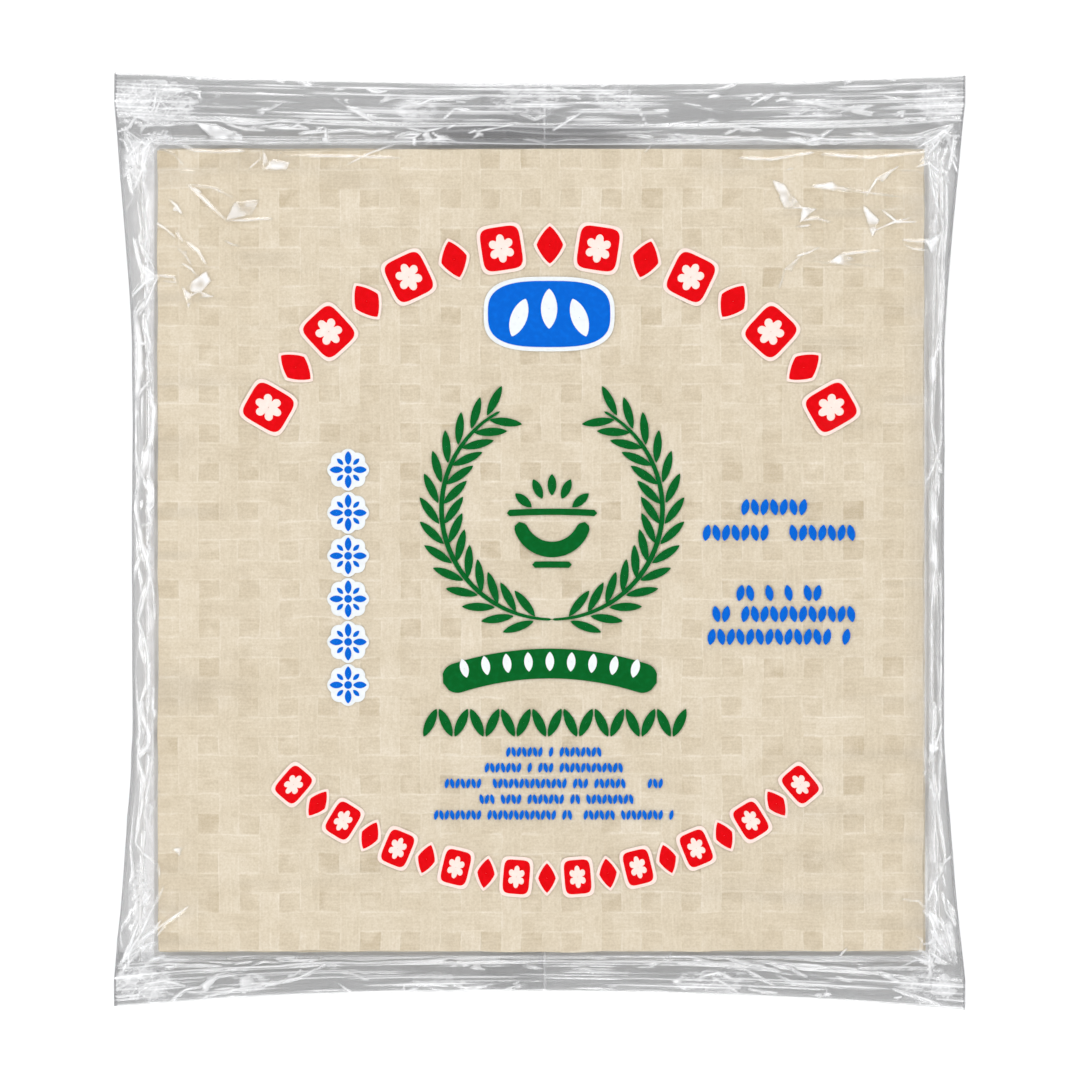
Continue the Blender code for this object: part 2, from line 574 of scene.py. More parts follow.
@dataclass(frozen=True)
class PackForm:
    """Outline and resting heights of the pack, as its plain solid has them.

    Attributes:
        half_width: Half the bag's width at its corners.
        half_length: Half the bag's length at its corners.
        top: Height of the film over the stack.
        shoulder: How far the film runs level past the papers before it drops.
    """

    half_width: float
    half_length: float
    top: float
    paper_width: float = 214.9 * MM
    paper_length: float = 225.0 * MM
    stack_x: float = 0.55 * MM
    stack_y: float = -2.6 * MM
    waist_left: float = 115.3 * MM
    waist_right: float = 114.6 * MM
    waist_length: float = 110 * MM
    flare_power: float = 1.25
    far_sag: float = 2.7 * MM
    near_sag: float = 4.8 * MM
    far_seal: float = 12.2 * MM
    near_seal: float = 8.5 * MM
    fold_height: float = 0.85 * MM
    corner_droop: float = 0.2 * MM
    ripple: float = 0.25 * MM
    shoulder: float = 1.2 * MM
    floor_gap: float = 0.22 * MM
    stack_top: float = 12.5 * MM
    fin_depth: float = 8.0 * MM
    skew: float = 0.45 * MM

    @property
    def stack_box(self) -> tuple[float, float, float, float]:
        """Left, right, near and far edge of the papers."""
        return (self.stack_x - self.paper_width / 2, self.stack_x + self.paper_width / 2,
                self.stack_y - self.paper_length / 2, self.stack_y + self.paper_length / 2)

    def side_reach(self, y: Array, waist: float) -> Array:
        """How far a folded side stands from the centre: the waist, flaring to the full half width at the
        fins by a power of the way past the waist's length."""
        half_waist = self.waist_length / 2
        flare_length = self.half_length - self.fin_depth - half_waist
        past = np.clip((np.abs(y) - half_waist) / flare_length, 0.0, 1.0)
        return waist + (self.half_width - waist) * past**self.flare_power

    def left(self, y: Array) -> Array:
        """X of the left fold, with a slight wave."""
        wave = SmoothNoise(11, 9 * MM, 17 * MM)(0 * y, y) * 0.25 * MM
        return -self.side_reach(y, self.waist_left) + np.abs(wave)

    def right(self, y: Array) -> Array:
        """X of the right fold, with a slight wave."""
        wave = SmoothNoise(12, 9 * MM, 17 * MM)(0 * y, y) * 0.25 * MM
        return self.side_reach(y, self.waist_right) - np.abs(wave)

    def end_reach(self, x: Array, sag: float) -> Array:
        """How far a cut end stands from the centre: full at the corners, sagging in the middle."""
        return self.half_length - sag * (1.0 - np.clip(np.abs(x) / self.half_width, 0.0, 1.0) ** 2.2)

    def far(self, x: Array) -> Array:
        """Y of the far cut edge, which is cut a little aslant."""
        return self.end_reach(x, self.far_sag) - self.skew * x / self.half_width

    def near(self, x: Array) -> Array:
        """Y of the near cut edge, which is cut a little aslant."""
        return -self.end_reach(x, self.near_sag) - self.skew * x / self.half_width

    def middle(self, x: Array, y: Array) -> Array:
        """Height of the folds and fins: a slow ripple that droops at the corners."""
        ripple = np.sin(2 * np.pi * (x / (68 * MM) + y / (91 * MM)))
        corner = (np.abs(x) / self.half_width * np.abs(y) / self.half_length) ** 4
        return self.fold_height + self.ripple * ripple - self.corner_droop * corner

    def slope(self, x: Array, y: Array, shoulder: float) -> Array:
        """How far down the drop from the stack a place is: 0 on the stack, 1 at the fold or the fin."""
        left, right, near, far = self.stack_box
        to_left = (left - shoulder - x) / (left - shoulder - self.left(y))
        to_right = (x - right - shoulder) / (self.right(y) - right - shoulder)
        near_line, far_line = self.near(x) + self.near_seal, self.far(x) - self.far_seal
        to_near = (near - shoulder - y) / (near - shoulder - near_line)
        to_far = (y - far - shoulder) / (far_line - far - shoulder)
        return np.clip(np.maximum.reduce([to_left, to_right, to_near, to_far]), 0.0, 1.0)

    def inset(self, x: Array, y: Array) -> Array:
        """Distance in from the nearest fold or cut edge."""
        sides = np.minimum(x - self.left(y), self.right(y) - x)
        ends = np.minimum(self.far(x) - y, y - self.near(x))
        return np.clip(np.minimum(sides, ends), 0.0, None)

    def seal(self, x: Array, y: Array) -> Array:
        """1 inside the crimped fins, 0 outside them."""
        far_in = (y - self.far(x) + self.far_seal) / (0.8 * MM)
        near_in = (self.near(x) + self.near_seal - y) / (0.8 * MM)
        return np.clip(np.maximum(far_in, near_in), 0.0, 1.0)


# ---------------------------------------------------------------- wrinkles


Path = tuple[tuple[float, float], ...]
CREST = 0.40 * MM


@dataclass(frozen=True)
class Crease:
    """A sharp fold through a few points: a tent-shaped ridge with a painted glint along its crest, thinner at its ends.

    Attributes:
        white: How bright the painted glint on its crest is.
        path: Its points in plan, in millimetres.
        height: Height of the ridge.
        width: Half width of the ridge.
        crest: Half width of the painted glint line along its top.
    """

    white: float
    path: Path
    height: float = 0.20 * MM
    width: float = 0.85 * MM
    crest: float = CREST

    def __call__(self, x: Array, y: Array) -> Array:
        """Height and whiteness over a place: tent(distance from the path / width), with the width and the
        height falling off along the path as the square root of a parabola."""
        path = np.array(self.path) * MM
        lengths = np.hypot(*np.diff(path, axis=0).T)
        low, high = path.min(axis=0) - self.width, path.max(axis=0) + self.width
        near = (x > low[0]) & (x < high[0]) & (y > low[1]) & (y < high[1])
        px, py = x[near], y[near]
        distance, share = np.full(px.shape, 9.0), np.zeros(px.shape)
        walked = 0.0
        for start, end, length in zip(path[:-1], path[1:], lengths):
            run_x, run_y = (end - start) / length
            along = np.clip((px - start[0]) * run_x + (py - start[1]) * run_y, 0.0, length)
            off = np.hypot(px - start[0] - along * run_x, py - start[1] - along * run_y)
            share = np.where(off < distance, (walked + along) / lengths.sum(), share)
            distance = np.minimum(distance, off)
            walked += length
        taper = 0.3 + 0.7 * np.sqrt(np.clip(4.0 * share * (1.0 - share), 0.0, 1.0))
        uneven = 0.95 + 0.55 * SmoothNoise(18, 3.0 * MM, 2.4 * MM)(px, py)
        # A soft painted highlight beside the crest.
        painted_halo = 0.4 * tent(distance / self.width) ** 2
        result = np.zeros((2, *x.shape))
        result[0][near] = self.height * (0.4 + self.white) * taper * tent(distance / (self.width * taper))
        result[1][near] = self.white * taper * uneven.clip(0.3, 1.4) * np.maximum(tent(distance / self.crest), painted_halo)
        return result


@dataclass(frozen=True)
class Facet:
    """A small flat patch of folded film inside a convex outline, with a painted reflection that is brightest at its
    first corner.

    Attributes:
        white: How bright its painted reflection is.
        corners: Its corners in plan, in millimetres.
        height: How far it stands up.
    """

    white: float
    corners: Path
    height: float = 0.18 * MM

    def __call__(self, x: Array, y: Array) -> Array:
        """Height and whiteness over a place, from the distance in from the nearest edge."""
        corners = np.array(self.corners) * MM
        low, high = corners.min(axis=0) - MM, corners.max(axis=0) + MM
        near = (x > low[0]) & (x < high[0]) & (y > low[1]) & (y < high[1])
        px, py = x[near], y[near]
        onward = np.roll(corners, -1, axis=0)
        turn = np.sign(np.sum(corners[:, 0] * onward[:, 1] - corners[:, 1] * onward[:, 0]))
        inside = np.full(px.shape, 9.0)
        for start, end in zip(corners, onward):
            run_x, run_y = (end - start) / math.dist(start, end)
            inside = np.minimum(inside, turn * ((py - start[1]) * run_x - (px - start[0]) * run_y))
        uneven = SmoothNoise(17, 1.9 * MM, 1.5 * MM)(px, py)
        reach = np.max(np.hypot(*(corners - corners[0]).T))
        # The painted reflection fades away from the first corner, unevenly.
        fade = 1.35 - 1.05 * np.hypot(px - corners[0, 0], py - corners[0, 1]) / reach + 0.45 * uneven
        edge = tent(inside / CREST) * np.clip(0.5 + 0.8 * uneven, 0.0, 1.0)
        body = ease(-0.35 * MM, 0.35 * MM, inside) * np.clip(fade, 0.15, 1.15)
        result = np.zeros((2, *x.shape))
        result[0][near] = self.height * ease(-0.6 * MM, 0.5 * MM, inside)
        result[1][near] = self.white * np.maximum(edge, body)
        return result


def star(centre: tuple[float, float], rays: int, reach: float, heading: float, fan: float, seed: int) -> list[Crease]:
    """Creases that fan out from a point where the film is pulled tight.

    Args:
        centre: The point, in plan, in millimetres.
        rays: Count of creases.
        reach: Length of the longest crease, in millimetres.
        heading: Middle direction of the fan, in degrees from +X.
        fan: Angle that the fan covers, in degrees.
        seed: Seed of the rays' lengths and headings.

    Returns:
        The creases.
    """
    rng = np.random.default_rng(seed)
    creases = []
    for ray in range(rays):
        turn = math.radians(heading + fan * ((ray + rng.uniform(0.2, 0.8)) / rays - 0.5))
        length = reach * rng.uniform(0.5, 1.0)
        end = (centre[0] + length * math.cos(turn), centre[1] + length * math.sin(turn))
        creases.append(Crease(rng.uniform(0.35, 0.9), (centre, end), 0.4 * MM * (-1) ** ray))
    return creases


@dataclass(frozen=True)
class FoldLine:
    """A long fold that runs along a margin from pinch to pinch, in straight or sagging stretches.

    Attributes:
        seed: Seed of the pinches.
        pitch: Mean distance between pinches.
        low: Nearest that it comes to the stack, as a share of the margin.
        high: Farthest that it goes from the stack, as a share of the margin.
        sag: How far a stretch bows towards the stack, as a share of the margin.
        white: How bright the painted glint on its crest is.
        fill: How white the film beside it is, on the side of each stretch that catches the light.
        height: Height of the ridge.
        width: Half width of the ridge.
    """

    seed: int
    pitch: float
    low: float
    high: float
    sag: float
    white: float
    fill: float
    height: float = 0.11 * MM
    width: float = 0.65 * MM

    def __call__(self, share: Array, along: Array, span: Array) -> Array:
        """Height and whiteness over a place.

        Args:
            share: Place across the margin, from 0 at the stack to 1 at the fold.
            along: Place along the margin.
            span: Width of the margin there.

        Returns:
            tent(distance across from the line / width), and a painted glint that fades away from the crest.
        """
        rng = np.random.default_rng(self.seed)
        count = int(0.34 / self.pitch)
        knots = np.cumsum(rng.uniform(0.4, 1.6, count)) * self.pitch - 0.16
        places = rng.uniform(self.low, self.high, count)
        strength = rng.uniform(0.0, 1.0, count) ** 1.3
        lit = rng.uniform(-1.0, 1.0, count)
        here = np.clip(np.searchsorted(knots, along) - 1, 0, count - 2)
        t = np.clip((along - knots[here]) / (knots[here + 1] - knots[here]), 0.0, 1.0)
        swell = 4.0 * t * (1.0 - t)
        line = places[here] * (1.0 - t) + places[here + 1] * t - self.sag * swell * strength[here]
        power = strength[here] * (1.0 - t) + strength[here + 1] * t
        off = (share - line) * span
        beside = off * np.sign(lit[here]) / (0.8 * MM + 1.6 * MM * strength[here])
        patch = np.where(beside > 0, 1.0 - beside, 0.0).clip(0.0, 1.0) * np.sqrt(swell) * lit[here] ** 2
        white = np.maximum(self.white * power * tent(off / CREST), self.fill * patch)
        return np.stack([self.height * power * tent(off / self.width), white])


# ---------------------------------------------------------------- the film


@dataclass(frozen=True)
class Film:
    """Heights and whiteness of the front and back ply over the whole outline; the whiteness is partly whitened film and
    partly painted glints, sheen and light.

    Attributes:
        form: The pack's form.
        nose: Radius of the folds and of the pinch at the cut edges.
        seal_gap: Half the gap between the plies inside the fins.
        rib_pitch: Distance between the fins' ribs.
        rib_height: Height of the ribs.
    """

    form: PackForm
    nose: float = 0.45 * MM
    seal_gap: float = 0.10 * MM
    rib_pitch: float = 2.0 * MM
    rib_height: float = 0.09 * MM

    def gap(self, x: Array, y: Array) -> Array:
        """Half the gap between the plies at the folds and fins: a quarter circle in from the outline."""
        inset = np.clip(self.form.inset(x, y) / self.nose, 0.0, 1.0)
        full = self.nose + (self.seal_gap - self.nose) * self.form.seal(x, y)
        return full * np.sqrt(1.0 - (1.0 - inset) ** 2)

    def drop(self, slope: Array, knee: float) -> Array:
        """Fall of a ply from the stack to the folds: steep up to the knee, then a gentle straight run."""
        return 0.95 * np.clip(1.0 - slope / knee, 0.0, 1.0) ** 1.5 + 0.05 * (1.0 - slope)

    def ribs(self, x: Array, y: Array) -> Array:
        """Crimp of the fins: rows of small ridges along the cut edge, each with a painted glint on its crest and a
        painted lit side, brighter and duller by stretches.
        """
        form = self.form
        from_edge = np.where(y > 0, form.far(x) - y, y - form.near(x)) + 0.3 * MM * SmoothNoise(21, 40 * MM, 7 * MM)(x, y)
        height, white = 0 * x, 0 * x
        for pitch, crest, painted_lit_side, number in ((self.rib_pitch, 0.62, 0.15, 23), (0.47 * self.rib_pitch, 0.34, 0.08, 27)):
            row = np.round(from_edge / pitch)
            lit = np.clip(0.22 + 1.2 * SmoothNoise(number, 15 * MM, 1.0)(x, row + 20 * np.sign(y)), 0.04, 1.0)
            off = from_edge - row * pitch
            height = np.maximum(height, (0.3 + 0.7 * lit) * tent(2.0 * off / pitch))
            # A painted glint along each crest, and a painted lit side on the side of each rib away from the cut edge.
            white = white + crest * lit * tent(off / (0.30 * MM)) + painted_lit_side * lit * (off > 0)
        return form.seal(x, y) * np.stack([self.rib_height * height, white])

    def pleats(self, x: Array, y: Array) -> Array:
        """Long shallow pleats that run across the fins and the loose film before them: stretched noise, with a painted
        glint along their ridges.
        """
        form = self.form
        broad = SmoothNoise(22, 34 * MM, 3.2 * MM)(x + 3.0 * y, y)
        ridge = tent(SmoothNoise(20, 26 * MM, 2.3 * MM)(x + 2.0 * y, y) / 0.16)
        in_ends = np.where((y > form.stack_box[3]) | (y < form.stack_box[2]), 1.0, 0.0)
        loose = ease(0.1, 0.6, form.slope(x, y, form.shoulder)) * in_ends
        return loose * np.stack([MM * (0.05 * broad + 0.03 * ridge), 0.09 * ridge**3])

    def crushed(self, x: Array, y: Array) -> Array:
        """Crushed patches: two sizes of crumple, as strong as the strongest patch there, painted whitish, with painted
        glints on the creases and facets.
        """
        amount = 0.06 + 0 * x
        for middle_x, middle_y, half_x, half_y, strength in CRUSHED_PATCHES:
            away = np.hypot((x - middle_x * MM) / (half_x * MM), (y - middle_y * MM) / (half_y * MM))
            amount = np.maximum(amount, strength * (1.0 - ease(0.55, 1.1, away)))
        loose = ease(0.05, 0.4, self.form.slope(x, y, self.form.shoulder))
        coarse, fine = Crumple(24, 4.4 * MM, 2.9 * MM)(x, y), Crumple(25, 1.9 * MM, 1.2 * MM)(x, y)
        height = 0.24 * MM * coarse[0] + 0.10 * MM * fine[0]
        return amount * loose * np.stack([height, 0.20 + 0.28 * coarse[1] + 0.38 * fine[1]])

    def margins(self, x: Array, y: Array, seed: int) -> Array:
        """Long folds along the two sides and across the two ends, on the film between stack and edge."""
        form = self.form
        left, right, near, far = form.stack_box
        total = np.zeros((2, *x.shape))
        beside = ease(near - 14 * MM, near + 6 * MM, y) * (1.0 - ease(far - 6 * MM, far + 10 * MM, y))
        for edge, fold, number in ((left, form.left(y), 0), (right, form.right(y), 4)):
            share = (x - edge) / (fold - edge)
            inside = beside * ((share > 0) & (share < 1))
            for line in (FoldLine(seed + number, 17 * MM, 0.35, 0.75, 0.0, 0.45, 0.25),
                         FoldLine(seed + number + 1, 12 * MM, 0.55, 0.85, 0.0, 0.35, 0.15),
                         FoldLine(seed + number + 2, 24 * MM, 0.20, 0.60, 0.0, 0.45, 0.2)):
                total += inside * line(share, y, np.abs(fold - edge))
        ends = ((near, form.near(x) + form.near_seal, 8), (far, form.far(x) - form.far_seal, 12))
        for edge, fold, number in ends:
            share = (y - edge) / (fold - edge)
            inside = 1.0 * ((share > 0) & (share < 1.3))
            for line in (FoldLine(seed + number, 42 * MM, 0.94, 1.06, 0.12, 0.8, 0.1),
                         FoldLine(seed + number + 1, 60 * MM, 0.30, 0.60, 0.25, 0.5, 0.2),
                         FoldLine(seed + number + 2, 26 * MM, 0.45, 0.90, 0.15, 0.4, 0.15)):
                total += inside * line(share, x, np.abs(fold - edge))
        return total

    def front(self, x: Array, y: Array) -> Array:
        """Height and whiteness of the front ply, whose whiteness includes painted glints, a painted sheen and painted
        light beside the papers.

        The height is the folds' height plus the gap, raised over the stack by a power of the way down the
        slope, plus the wrinkles, which fade out at the outline.
        """
        form = self.form
        slope = form.slope(x, y, form.shoulder)
        base = form.middle(x, y) + self.gap(x, y)
        raised = self.drop(slope, 0.42)
        room = ease(0.0, 1.0 * MM, form.inset(x, y))
        # Painted sheen: a broad whitish reflection over the far corners and along the right edge, kept off the drop.
        painted_sheen_and_light = ease(0.1, 1.2, SmoothNoise(26, 26 * MM, 4 * MM)(x, y)) * ease(75 * MM, 105 * MM, np.hypot(x, 0.8 * y))
        painted_sheen_and_light = (painted_sheen_and_light + ease(101 * MM, 107 * MM, x)) * (1.0 - ease(0.0, 0.1, slope))
        # Painted light: lightens the film just past the papers' edges, where the stack's shadow falls, most at the near
        # end.
        painted_light_near_papers = ease(0.0, 0.04, slope) * (1.0 - ease(0.12, 0.40, slope))
        painted_sheen_and_light = painted_sheen_and_light + painted_light_near_papers * np.where(y < form.stack_box[2], 1.5, np.where(y > form.stack_box[3], 0.8, 0.5))
        height, white = self.ribs(x, y) + self.pleats(x, y) + self.crushed(x, y) + self.margins(x, y, 31)
        # Painted highlight: a white line just past the papers' right edge, where the film lifts.
        painted_edge_highlight = tent((x - form.stack_box[1] - 0.55 * MM) / (0.55 * MM)) * (np.abs(y) < form.paper_length / 2)
        white = white + 0.12 * painted_sheen_and_light + 0.45 * painted_edge_highlight * ease(-0.6, 0.5, SmoothNoise(28, 5 * MM, 19 * MM)(x, y))
        for fold in chosen_folds() + strewn_folds():
            more_height, more_white = fold(x, y)
            height, white = height + more_height, np.maximum(white, more_white)
        sway = 0.06 * MM * SmoothNoise(29, 24 * MM, 19 * MM)(x, y) * (1.0 - ease(0.0, 0.2, slope))
        return np.stack([base + (form.top - base) * raised + room * height + sway, np.clip(white, 0.0, 1.0)])

    def back(self, x: Array, y: Array) -> Array:
        """Height and whiteness of the back ply, which runs level under the stack, as front() says it."""
        form = self.form
        slope = form.slope(x, y, 0.5 * form.shoulder)
        base = form.middle(x, y) - self.gap(x, y)
        lowered = self.drop(slope, 0.60)
        room = ease(0.0, 1.0 * MM, form.inset(x, y))
        height, white = self.ribs(x, y) + self.pleats(x, y) + self.crushed(x, y) + 0.6 * self.margins(x, y, 51)
        rough = base + (form.floor_gap - base) * lowered + room * height
        white = np.clip(0.5 * white + 0.6 * self.seam_marks(x, y, *SEAM_EDGES), 0.0, 1.0)
        return np.stack([np.maximum(rough, form.floor_gap), white])

    def painted_shade(self, x: Array, y: Array) -> Array:
        """Painted shade: how grey a place is, 1 at the side folds, faint from 1 mm in and in the middle of the far end.
        """
        inset = np.minimum(x - self.form.left(y), self.form.right(y) - x)
        near_fold = np.maximum(tent(inset / (1.0 * MM)), 0.14 * (1.0 - ease(1.5 * MM, 5.0 * MM, inset)))
        far_middle = (1.0 - ease(15 * MM, 50 * MM, np.abs(x + 4 * MM))) * (y > self.form.stack_box[3])
        return np.maximum(near_fold, 0.45 * far_middle) * (1.0 - 0.7 * self.form.seal(x, y) * (inset > MM))

    def seam_marks(self, x: Array, y: Array, low: float, high: float) -> Array:
        """Where the back seam's two edges and its grid of dots press through the back ply."""
        inside = (x > low) & (x < high)
        pressed = ease(-0.2, 0.6, SmoothNoise(61, 9 * MM, 7 * MM)(x, y))
        dots = tent(np.sin(np.pi * x / (0.9 * MM)) / 0.5) * tent(np.sin(np.pi * y / (1.1 * MM)) / 0.5)
        return np.maximum.reduce([inside * dots * pressed, tent((x - high) / (0.4 * MM)),
                                  0.4 * pressed * tent((x - low) / (0.4 * MM))])

    def slack(self, x: Array, y: Array) -> Array:
        """How loose the film is: 0 over the stack, 1 in the margins and fins."""
        return ease(0.0, 0.35, self.form.slope(x, y, self.form.shoulder))


SEAM_EDGES = (-16.7 * MM, 1.3 * MM)
CRUSHED_PATCHES = (
    (-109, 124, 15, 8, 0.9), (-114, 107, 4, 8, 1.0), (-107, 114, 4, 3, 0.8), (113, 124, 8, 7, 0.7),
    (-112, -125, 11, 6, 0.9), (110, -126, 10, 6, 0.8), (-4, 124, 12, 5, 0.6), (22, 125, 9, 4, 0.7),
    (41, 113, 7, 3, 0.7), (50, -124, 13, 5, 0.6), (-81, -125, 5, 3, 0.8), (-30, -124, 8, 3, 0.5),
    (-113, -100, 4, 12, 0.5), (115, -113, 3, 7, 0.7), (-35, 122, 7, 5, 0.5), (80, 123, 10, 4, 0.5),
)


STREWN_AREAS = (
    (-106, 113, 111, 119, 40, 0, 15), (-116, 116, 120, 131, 60, 0, 12), (-106, 112, -122, -117.5, 30, 0, 14),
    (-114, 114, -131, -123, 55, 0, 11), (-114, -109, -100, 104, 20, 90, 9), (110, 114, -100, 104, 14, 90, 10),
    (-118, -109, 104, 120, 16, 60, 9), (110, 117, 104, 120, 14, -60, 9), (-117, -108, -120, -96, 20, 60, 10),
    (108, 117, -120, -96, 18, -60, 10), (-104, -84, 60, 108, 7, -40, 8), (70, 106, 74, 109, 8, 10, 12),
)


def strewn_folds() -> list[Crease | Facet]:
    """Many small bent creases, some with a facet beside them, strewn over the loose film by a seed.

    Each area gives its span across and along in millimetres, a count, a heading in degrees and a reach.
    """
    rng = np.random.default_rng(91)
    folds: list[Crease | Facet] = []
    for left, right, near, far, count, heading, reach in STREWN_AREAS:
        for _ in range(count):
            start = np.array([rng.uniform(left, right), rng.uniform(near, far)])
            turn = math.radians(heading + rng.normal(0, 16) + 180 * rng.integers(0, 2))
            half = 0.5 * rng.uniform(0.15, 1.0) ** 1.5 * reach + 0.6
            bend, white = turn + rng.normal(0, 0.4), rng.uniform(0.2, 1.0)
            middle = start + half * np.array([math.cos(turn), math.sin(turn)])
            end = middle + half * np.array([math.cos(bend), math.sin(bend)])
            folds.append(Crease(white, (tuple(start), tuple(middle), tuple(end)), 0.10 * MM, 0.7 * MM))
            if rng.random() < 0.4:
                side = rng.uniform(0.5, 1.6) * np.array([-math.sin(turn), math.cos(turn)])
                folds.append(Facet(white, (tuple(start), tuple(middle), tuple(start + 0.8 * half * (middle - start)
                                                                            / half + side)), 0.08 * MM))
    return folds


def chosen_folds() -> list[Crease | Facet]:
    """The most visible folds of the front ply, by their places in millimetres."""
    over_papers_left = [
        Crease(0.5, ((-106.5, 110), (-102.5, 108.5), (-100, 105.5))), Crease(0.4, ((-101, 103.5), (-96.5, 103.5))),
        Crease(0.7, ((-102.5, 111.5), (-97, 109.5), (-90, 109), (-82.5, 109.5))),
        Facet(0.7, ((-77.5, 109.5), (-75, 104.5), (-77.5, 104.5))),
        Facet(0.9, ((-77, 104.5), (-75, 107), (-70.5, 106), (-71, 104.5))),
        Crease(0.5, ((-81.5, 104.5), (-78, 107.5))), Crease(0.6, ((-71.5, 108), (-59, 108), (-39, 107.5))),
        Crease(0.9, ((-98.5, 100), (-88, 90))), Crease(0.4, ((-98, 100), (-91.5, 99), (-86, 96.5))),
        Facet(0.6, ((-88, 90), (-85.5, 95), (-79, 95.5), (-81, 91.5))),
        Crease(0.7, ((-88, 90), (-82.5, 90), (-75, 90.5))), Crease(0.6, ((-102, 87), (-100, 84))),
        Crease(0.8, ((-99, 84), (-95.5, 81), (-93.5, 77.5))),
        Facet(0.9, ((-93.5, 75.5), (-92.5, 73), (-95.5, 69.5), (-99.5, 71))),
        Facet(0.8, ((-100, 71), (-97.5, 69), (-98.5, 66))),
        Crease(0.7, ((-107, 74.5), (-102.5, 74), (-102, 72.5), (-105.5, 73))),
        Facet(0.95, ((-102.5, -86.5), (-99.5, -85.5), (-101, -88))),
        Crease(0.8, ((-117, -118.5), (-112.5, -112.5), (-98.5, -102.5))),
        Crease(0.7, ((-107.5, -111), (-104.5, -107), (-99, -103))),
    ]
    over_papers_right = [
        Crease(0.9, ((56, 107.5), (65, 107), (77, 109))), Crease(0.9, ((79, 108.5), (92, 107.5), (108.5, 109))),
        Facet(0.75, ((65.5, 101), (68.5, 100), (73.5, 93.5), (69, 93.5))),
        Facet(0.9, ((73.5, 90), (74, 93.5), (77, 93))), Crease(0.7, ((73.5, 90), (78, 90.5), (81.5, 89.5))),
        Facet(0.8, ((76.5, 99.5), (82, 100.5), (88, 98))), Crease(0.6, ((76.5, 99.5), (94, 97.5), (101.5, 96.5))),
        Facet(0.9, ((91, 94), (95, 90), (93.5, 86), (92, 90))),
        Crease(0.8, ((102, 84.5), (106, 84), (109, 84), (114, 87))),
        Crease(0.5, ((102.5, 83), (105, 82), (109, 81.5))), Facet(0.95, ((108.5, 84), (112.5, 85.5), (110.5, 81.5))),
        Crease(0.7, ((85.5, 80.5), (95.5, 81.5))), Facet(0.9, ((82, 78.5), (85.5, 81), (88.5, 78.5), (86.5, 77.5))),
        Crease(0.4, ((76, 78.5), (94.5, 77))),
    ]
    left_margin = [
        Crease(0.8, ((-107, 74), (-112.5, 78), (-114.5, 85.5))), Crease(0.8, ((-107, 74), (-111, 73.5), (-115, 69.5))),
        Crease(0.9, ((-107, 74), (-113, 64))), Crease(0.6, ((-107, 74.5), (-113, 84.5))),
        Facet(0.6, ((-112.5, 77.5), (-107, 74), (-112, 72.5))),
        Crease(0.8, ((-111.5, 68), (-114.3, 64))),
        Crease(0.9, ((-114.3, 64), (-113.2, 57), (-112.9, 51), (-114, 40)), 0.3 * MM, 1.5 * MM, 1.0 * MM),
        Crease(0.8, ((-111.5, 63.5), (-110.6, 58), (-109.3, 54.5))), Facet(0.8, ((-110.6, 58), (-108.6, 53.5), (-110.2, 53))),
        Crease(0.8, ((-109.3, 46.4), (-112.4, 42.8), (-114.1, 40))),
        Crease(1.0, ((-110.2, 42), (-108.4, 37.3), (-109, 30), (-111.1, 24.7), (-112.2, 18)), 0.3 * MM, 1.5 * MM, 1.0 * MM),
        Crease(0.8, ((-114.1, 40), (-114.1, 25), (-112.9, 17.5), (-113.8, 13.8))),
        Crease(0.8, ((-109.7, 25), (-110.2, 18.5), (-108.4, 14.7), (-108.4, 10), (-110.6, 8.4), (-109.3, 5), (-113.3, 4.3))),
        Facet(0.8, ((-108.8, 14.5), (-108.8, 9.5), (-110.8, 8.5), (-110.6, 17.5))),
        Crease(0.9, ((-113.8, 13.8), (-114.3, 9.3), (-113.3, 4.3), (-112, -2.4), (-109.7, -9.7)), 0.3 * MM, 1.2 * MM, 0.7 * MM),
        Crease(0.9, ((-109.7, -9.7), (-112.4, -18.7), (-113.3, -22.3)), 0.25 * MM, 1.0 * MM, 0.6 * MM),
        Crease(0.7, ((-109.7, -9.7), (-108.4, -15), (-108.1, -22.3))),
        Crease(0.8, ((-113.3, -22.3), (-111.5, -27.8), (-110.6, -34), (-110.6, -40.4), (-112.4, -45))),
        Crease(0.9, ((-108.4, -41.3), (-108.8, -46.7), (-107.9, -49.5)), 0.25 * MM, 1.0 * MM, 0.7 * MM),
        Crease(1.0, ((-112.4, -45), (-112, -50.4), (-110.2, -55), (-110.6, -57.6), (-113.3, -61.2)), 0.3 * MM, 1.2 * MM, 0.8 * MM),
        Crease(0.8, ((-113.3, -61.2), (-111.5, -67.5), (-112.5, -76), (-114, -85.5))),
        Crease(0.8, ((-114, -85.5), (-112, -88.5), (-107, -91), (-106.5, -94.5))),
        Crease(0.7, ((-105.5, -97), (-107, -100.5), (-109.5, -104.5), (-113.5, -112.5))),
        Crease(0.6, ((-116, -108), (-113.5, -104), (-109.5, -99.5))),
        Crease(0.7, ((-118, -119), (-112.5, -115), (-107.5, -112.5))),
        Facet(0.9, ((-109, -118), (-105.5, -116), (-104, -116), (-104.5, -117.5))),
        Crease(0.7, ((-115, 98.5), (-110, 110.5))), Crease(0.7, ((-116.5, 106.5), (-115, 98.5))),
    ]
